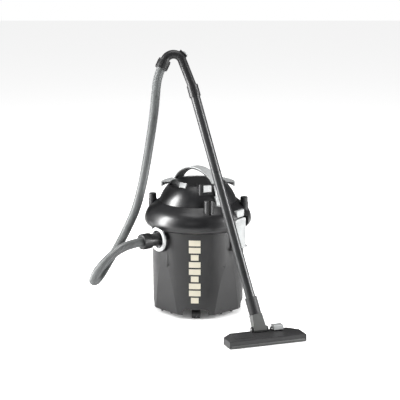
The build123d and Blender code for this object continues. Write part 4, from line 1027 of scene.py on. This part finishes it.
# ------------------------------------------------------------------ castors
@dataclass
class Castors:
    """Four twin-wheel castors."""

    names: tuple[str, ...] = ("front", "right", "back", "left")
    hub_radius: float = 0.0095
    spokes: int = 6

    def hubs(self, name: str) -> None:
        """Put a grey hub disc with a row of small webs on the outer face of each wheel.

        Args:
            name: Which castor.
        """
        rolling = joint(f"castor_{name}_roll")
        centre, axis = Vector(rolling["pos_m"]), Vector(rolling["axis"]).normalized()
        outline = [(0.0031, 0.0), (self.hub_radius, 0.0), (self.hub_radius, 0.0006),
                   (self.hub_radius - 0.0012, 0.0010), (0.0055, 0.0006), (0.0045, 0.0012), (0.0031, 0.0012),
                   (0.0031, 0.0)]
        places, outs = [], []
        for points in islands(f"castor_wheels_{name}"):
            middle = sum(points, Vector()) / len(points)
            out = axis if (middle - centre).dot(axis) > 0 else -axis
            reach = max((point - centre).dot(out) for point in points)
            places.append(centre + out * (reach - 0.0002))
            outs.append(out)
        disc = lathe(f"hub_{name}", outline, 32)
        details(f"castor_hubs_{name}", disc, f"castor_{name}_wheels", MID, places, outs)
        rim, ways, spokes = [], [], []
        for place, out in zip(places, outs):
            for spoke in range(self.spokes):
                turn = 2 * math.pi * spoke / self.spokes
                ray = UP * math.cos(turn) + out.cross(UP) * math.sin(turn)
                rim.append(place + ray * 0.0068 + out * 0.0004)
                ways.append(out)
                spokes.append(ray)
        details(f"castor_webs_{name}", rounded_bar(f"web_{name}", 0.0036, 0.0012, 0.0009),
                f"castor_{name}_wheels", MID, rim, ways, spokes)

    def build(self) -> None:
        """Dress each hood and pair of wheels."""
        for name in self.names:
            dressed_node(f"castor_fork_{name}", BLACK, f"castor_{name}", Edge.FINE)
            dressed_node(f"castor_wheels_{name}", RUBBER, f"castor_{name}_wheels", Edge.NONE)
            self.hubs(name)


# ------------------------------------------------------------------ motor head
@dataclass
class MotorHead:
    """Lid ring, cover, handle, posts, switch, keepers, motor and filter."""

    screw_radius: float = 0.0042
    handle_bearing: float = 36.0
    handle_reach: float = 0.125
    handle_rise: float = 0.088
    handle_spring: float = 0.415
    handle_ribs: int = 44

    def shells(self) -> None:
        """Dress the lid ring, the cover, its fittings and the posts."""
        dressed_nodes("head", ("lid_ring", GLOSS, Edge.FINE), ("head_cover", GLOSS, Edge.FINE),
                      ("exhaust_grille", MATT, Edge.CRISP), ("exhaust_tab", LIGHT, Edge.SOFT),
                      ("cable_wrap", LIGHT, Edge.SOFT), ("cable_gland", BLACK, Edge.CRISP),
                      ("accessory_posts", MATT, Edge.SOFT), ("front_post", BLACK, Edge.FINE))

    def handle(self) -> None:
        """Dress the carry handle with its grip liner."""
        dressed_nodes("head", ("handle_shell", LIGHT, Edge.SOFT), ("handle_liner", MATT, Edge.SOFT))
        plane, across = outward(self.handle_bearing), outward(self.handle_bearing + 90.0)
        places, outs = [], []
        for rib in range(self.handle_ribs):
            turn = math.radians(24.0 + 132.0 * rib / (self.handle_ribs - 1))
            along, rise = self.handle_reach * math.cos(turn), self.handle_rise * math.sin(turn)
            places.append(plane * along + UP * (self.handle_spring + rise))
            steep = plane * (along / self.handle_reach**2) + UP * (rise / self.handle_rise**2)
            outs.append(-steep.normalized())
        details("handle_grip_ribs", rounded_bar("grip_rib", 0.029, 0.0024, 0.0016), "head", MATT, places, outs,
                [across] * len(places))

    def switch(self) -> None:
        """Dress the switch housing and its silver rocker."""
        dressed_node("switch_housing", BLACK, "head", Edge.SOFT)
        dressed_node("switch_rocker", SILVER, "switch", Edge.SOFT)

    def screws(self) -> None:
        """Put a cross screw on each screw of the cover and the handle."""
        head = cross_screw(self.screw_radius)
        dressed_nodes("head", ("cover_screws", STEEL, Edge.NONE), ("handle_screws", STEEL, Edge.NONE))
        tops = [outer_end(points, UP) for points in islands("cover_screws")]
        details("cover_screw_heads", head, "head", STEEL, tops, [UP] * len(tops), size=0.8, twist=1.5)
        sides = islands("handle_screws")
        plane = outward(self.handle_bearing)
        ways = [plane * (1 if sum(points, Vector()).dot(plane) > 0 else -1) for points in sides]
        ends = [outer_end(points, way) for points, way in zip(sides, ways)]
        details("handle_screw_heads", cross_screw(self.screw_radius), "head", STEEL, ends, ways, size=0.85,
                twist=1.5)

    def inside(self) -> None:
        """Dress the keepers, the deck, the motor and the filter."""
        dressed_nodes("head", ("latch_keepers", LIGHT, Edge.SOFT), ("motor_deck", BLACK, Edge.CRISP),
                      ("motor_gasket", RUBBER, Edge.CRISP), ("motor_case", BLACK, Edge.FINE),
                      ("motor_stator", IRON, Edge.CRISP), ("filter_cage", MATT, Edge.FINE),
                      ("filter_sleeve", CLOTH, Edge.FINE), ("filter_nut", LIGHT, Edge.SOFT))
        dressed_nodes("fan", ("motor_shaft", STEEL, Edge.CRISP), ("impeller", SILVER, Edge.CRISP))
        dressed_node("float_ball", MID, "float", Edge.NONE)

    def build(self) -> None:
        """Build every piece of the head."""
        self.shells()
        self.handle()
        self.switch()
        self.screws()
        self.inside()


# ------------------------------------------------------------------ latches
@dataclass
class Latches:
    """The two large toggle latches."""

    sides: tuple[tuple[str, float], ...] = (("right", 57.0), ("left", 237.0))
    face_radius: float = 0.176
    panel_low: float = 0.256
    panel_high: float = 0.316
    panel_width: float = 0.046
    border_width: float = 0.0018
    ribs: int = 6
    rib_low: float = 0.322
    rib_step: float = 0.0034

    def build(self) -> None:
        """Dress each latch plate with its finger ribs and its raised border."""
        for side, angle in self.sides:
            dressed_node(f"latch_{side}", LIGHT, f"{side}_latch", Edge.SOFT)
            out, across = outward(angle), outward(angle + 90.0)
            face = out * self.face_radius
            rows = [face + UP * (self.rib_low + rib * self.rib_step) for rib in range(self.ribs)]
            details(f"latch_ribs_{side}", rounded_bar(f"rib_{side}", 0.042, 0.0017, 0.0013), f"{side}_latch",
                    LIGHT, rows, [out] * self.ribs, [across] * self.ribs)
            middle = (self.panel_low + self.panel_high) / 2
            half = self.panel_width / 2
            level_bars = [face + UP * height for height in (self.panel_low, self.panel_high)]
            bar = rounded_bar(f"border_{side}", self.panel_width, self.border_width, 0.0011)
            details(f"latch_border_{side}", bar, f"{side}_latch", LIGHT, level_bars, [out] * 2, [across] * 2)
            uprights = [face + UP * middle + across * half * way for way in (-1, 1)]
            tall = self.panel_high - self.panel_low + self.border_width
            details(f"latch_sides_{side}", rounded_bar(f"upright_{side}", tall, self.border_width, 0.0011),
                    f"{side}_latch", LIGHT, uprights, [out] * 2, [UP] * 2)


# ------------------------------------------------------------------ wand
@dataclass
class Wand:
    """Cuffs, bent grip, tube, socket and neck."""

    cuff_radius: float = 0.0265
    cuff_middle: float = 0.2245
    cuff_rib_length: float = 0.028
    grip_cuff_radius: float = 0.021
    grip_cuff_middle: float = 0.0185
    grip_rib_length: float = 0.024
    cuff_ribs: int = 36

    def cuff_grips(self) -> None:
        """Set a row of long ribs round the inlet cuff, and shorter ones round the grip cuff."""
        turning = joint("inlet_swivel")
        axis = Vector(turning["axis"]).normalized()
        foot = UP * turning["pos_m"][2] + axis * self.cuff_middle
        self.rib_ring("inlet_cuff_ribs", foot, axis, self.cuff_radius, self.cuff_rib_length,
                      "inlet_swivel_cuff")
        turning = joint("grip_swivel")
        axis = Vector(turning["axis"]).normalized()
        foot = Vector(turning["pos_m"]) + axis * self.grip_cuff_middle
        self.rib_ring("grip_cuff_ribs", foot, axis, self.grip_cuff_radius, self.grip_rib_length,
                      "grip_swivel_cuff")

    def rib_ring(self, name: str, centre: Vector, axis: Vector, radius: float, length: float,
                 body: str) -> None:
        """Set ribs round a cuff, each along its axis.

        Args:
            name: Name of the new piece.
            centre: Middle of the ribs, on the cuff's axis.
            axis: The cuff's axis.
            radius: The cuff's outer radius.
            length: Length of a rib.
            body: The CAD body that it rides on.
        """
        side = axis.orthogonal().normalized()
        other = axis.cross(side)
        turns = [2 * math.pi * rib / self.cuff_ribs for rib in range(self.cuff_ribs)]
        rays = [side * math.cos(turn) + other * math.sin(turn) for turn in turns]
        details(name, rounded_bar(f"{name}_rib", length, 0.0017, 0.0010), body, MATT,
                [centre + ray * radius for ray in rays], rays, [axis] * self.cuff_ribs)

    def build(self) -> None:
        """Dress every piece between the hose and the floor nozzle."""
        self.cuff_grips()
        dressed_node("inlet_cuff", BLACK, "inlet_swivel_cuff", Edge.SOFT)
        dressed_node("grip_cuff", MATT, "grip_swivel_cuff", Edge.FINE)
        dressed_node("wand_grip", BLACK, "wand", Edge.FINE)
        dressed_node("suction_slider", LIGHT, "slider", Edge.FINE)
        dressed_nodes("wand", ("wand_tube", TUBE, Edge.CRISP), ("wand_socket", MATT, Edge.SOFT),
                      ("nozzle_neck", MID, Edge.SOFT))


# ------------------------------------------------------------------ floor nozzle
@dataclass
class FloorNozzle:
    """Floor nozzle with its pedal, brushes, sole and wheels."""

    centre: Triple = (0.2146, -0.394, 0.0)
    top: float = 0.026
    half_length: float = 0.135
    half_depth: float = 0.046
    panel: tuple[float, float, float, float] = (-0.104, -0.034, -0.022, 0.030)
    tuft_step: float = 0.0018
    tuft_rows: int = 3

    def place(self, x: float, y: float, z: float) -> Vector:
        """Point of the nozzle's own frame in the row frame."""
        along, back = self.axes()
        return Vector(self.centre) + along * x + back * y + UP * z

    def axes(self) -> tuple[Vector, Vector]:
        """The nozzle's long axis and the level axis to its rear."""
        along = Vector(joint("nozzle_level")["axis"]).normalized()
        return along, UP.cross(along)

    def lines(self) -> None:
        """Raise the thin border on the top and the strip along the top's front edge."""
        along, back = self.axes()
        x0, x1, y0, y1 = self.panel
        wide, deep = x1 - x0, y1 - y0
        details("nozzle_border_long", rounded_bar("border_long", wide, 0.0012, 0.0007), "nozzle", NOZZLE,
                [self.place((x0 + x1) / 2, y, self.top) for y in (y0, y1)], [UP] * 2, [along] * 2)
        details("nozzle_border_short", rounded_bar("border_short", deep, 0.0012, 0.0007), "nozzle", NOZZLE,
                [self.place(x, (y0 + y1) / 2, self.top) for x in (x0, x1)], [UP] * 2, [back] * 2)
        details("nozzle_front_strip", rounded_bar("front_strip", 2 * self.half_length - 0.012, 0.005, 0.0010),
                "nozzle", MID, [self.place(0, -self.half_depth, 0.0085)], [-back], [along])

    def bristles(self) -> None:
        """Make each brush strip: a holder and rows of fine bristles that lean a little."""
        along, back = self.axes()
        centre = Vector(self.centre)
        tufts: list[Vector] = []
        verts: list[Vector] = []
        faces: list[tuple[int, ...]] = []
        for points in islands("brush_strips"):
            xs = [(point - centre).dot(along) for point in points]
            ys = [(point - centre).dot(back) for point in points]
            low, high = min(point.z for point in points), max(point.z for point in points)
            shelf = low + 0.6 * (high - low)
            start = len(verts)
            for z in (shelf, high):
                for x, y in ((min(xs), min(ys)), (max(xs), min(ys)), (max(xs), max(ys)), (min(xs), max(ys))):
                    verts.append(self.place(x, y, z))
            faces += [tuple(start + corner for corner in face) for face in
                      ((3, 2, 1, 0), (4, 5, 6, 7), (0, 1, 5, 4), (1, 2, 6, 5), (2, 3, 7, 6), (3, 0, 4, 7))]
            count = int((max(xs) - min(xs)) / self.tuft_step)
            for row in range(self.tuft_rows):
                y = min(ys) + (row + 0.5) * (max(ys) - min(ys)) / self.tuft_rows
                for step in range(count):
                    x = min(xs) + (step + 0.5) * (max(xs) - min(xs)) / count
                    tufts.append(self.place(x, y, shelf + 0.0002))
        holder = mesh_piece("brush_holders", verts, faces)
        soften(holder, Edge.CRISP)
        dress(holder, MATT, "brushes", "brush_strips")
        reach = shelf - low - 0.0002
        outline = [(0.0, -0.0003), (0.00055, 0.0), (0.0005, 0.6 * reach), (0.0002, reach), (0.0, reach)]
        details("bristles", lathe("bristle", outline, 5), "brushes", BRISTLE, tufts, [-UP] * len(tufts),
                [along] * len(tufts), spread=0.08, tilt=0.06, seed=11)

    def build(self) -> None:
        """Dress every piece of the nozzle."""
        self.lines()
        self.bristles()
        dressed_nodes("nozzle", ("nozzle_shell", NOZZLE, Edge.ROUND), ("nozzle_sole", MID, Edge.CRISP),
                      ("neck_pins", STEEL, Edge.CRISP), ("pedal_pin", STEEL, Edge.CRISP),
                      ("nozzle_axles", STEEL, Edge.CRISP))
        dressed_node("pedal", LIGHT, "pedal", Edge.SOFT)
        dressed_node("nozzle_wheels", RUBBER, "nozzle_wheel_pair", Edge.NONE)


def main() -> None:
    """Build the studio and every sub-assembly in order."""
    logging.basicConfig(level=logging.INFO, format="%(message)s")
    studio = Studio()
    studio.camera()
    Hose().build()
    studio.floor()
    studio.lights()
    for assembly in (Drum(), Castors(), MotorHead(), Latches(), Wand(), FloorNozzle()):
        assembly.build()


if __name__ == "__main__":
    main()
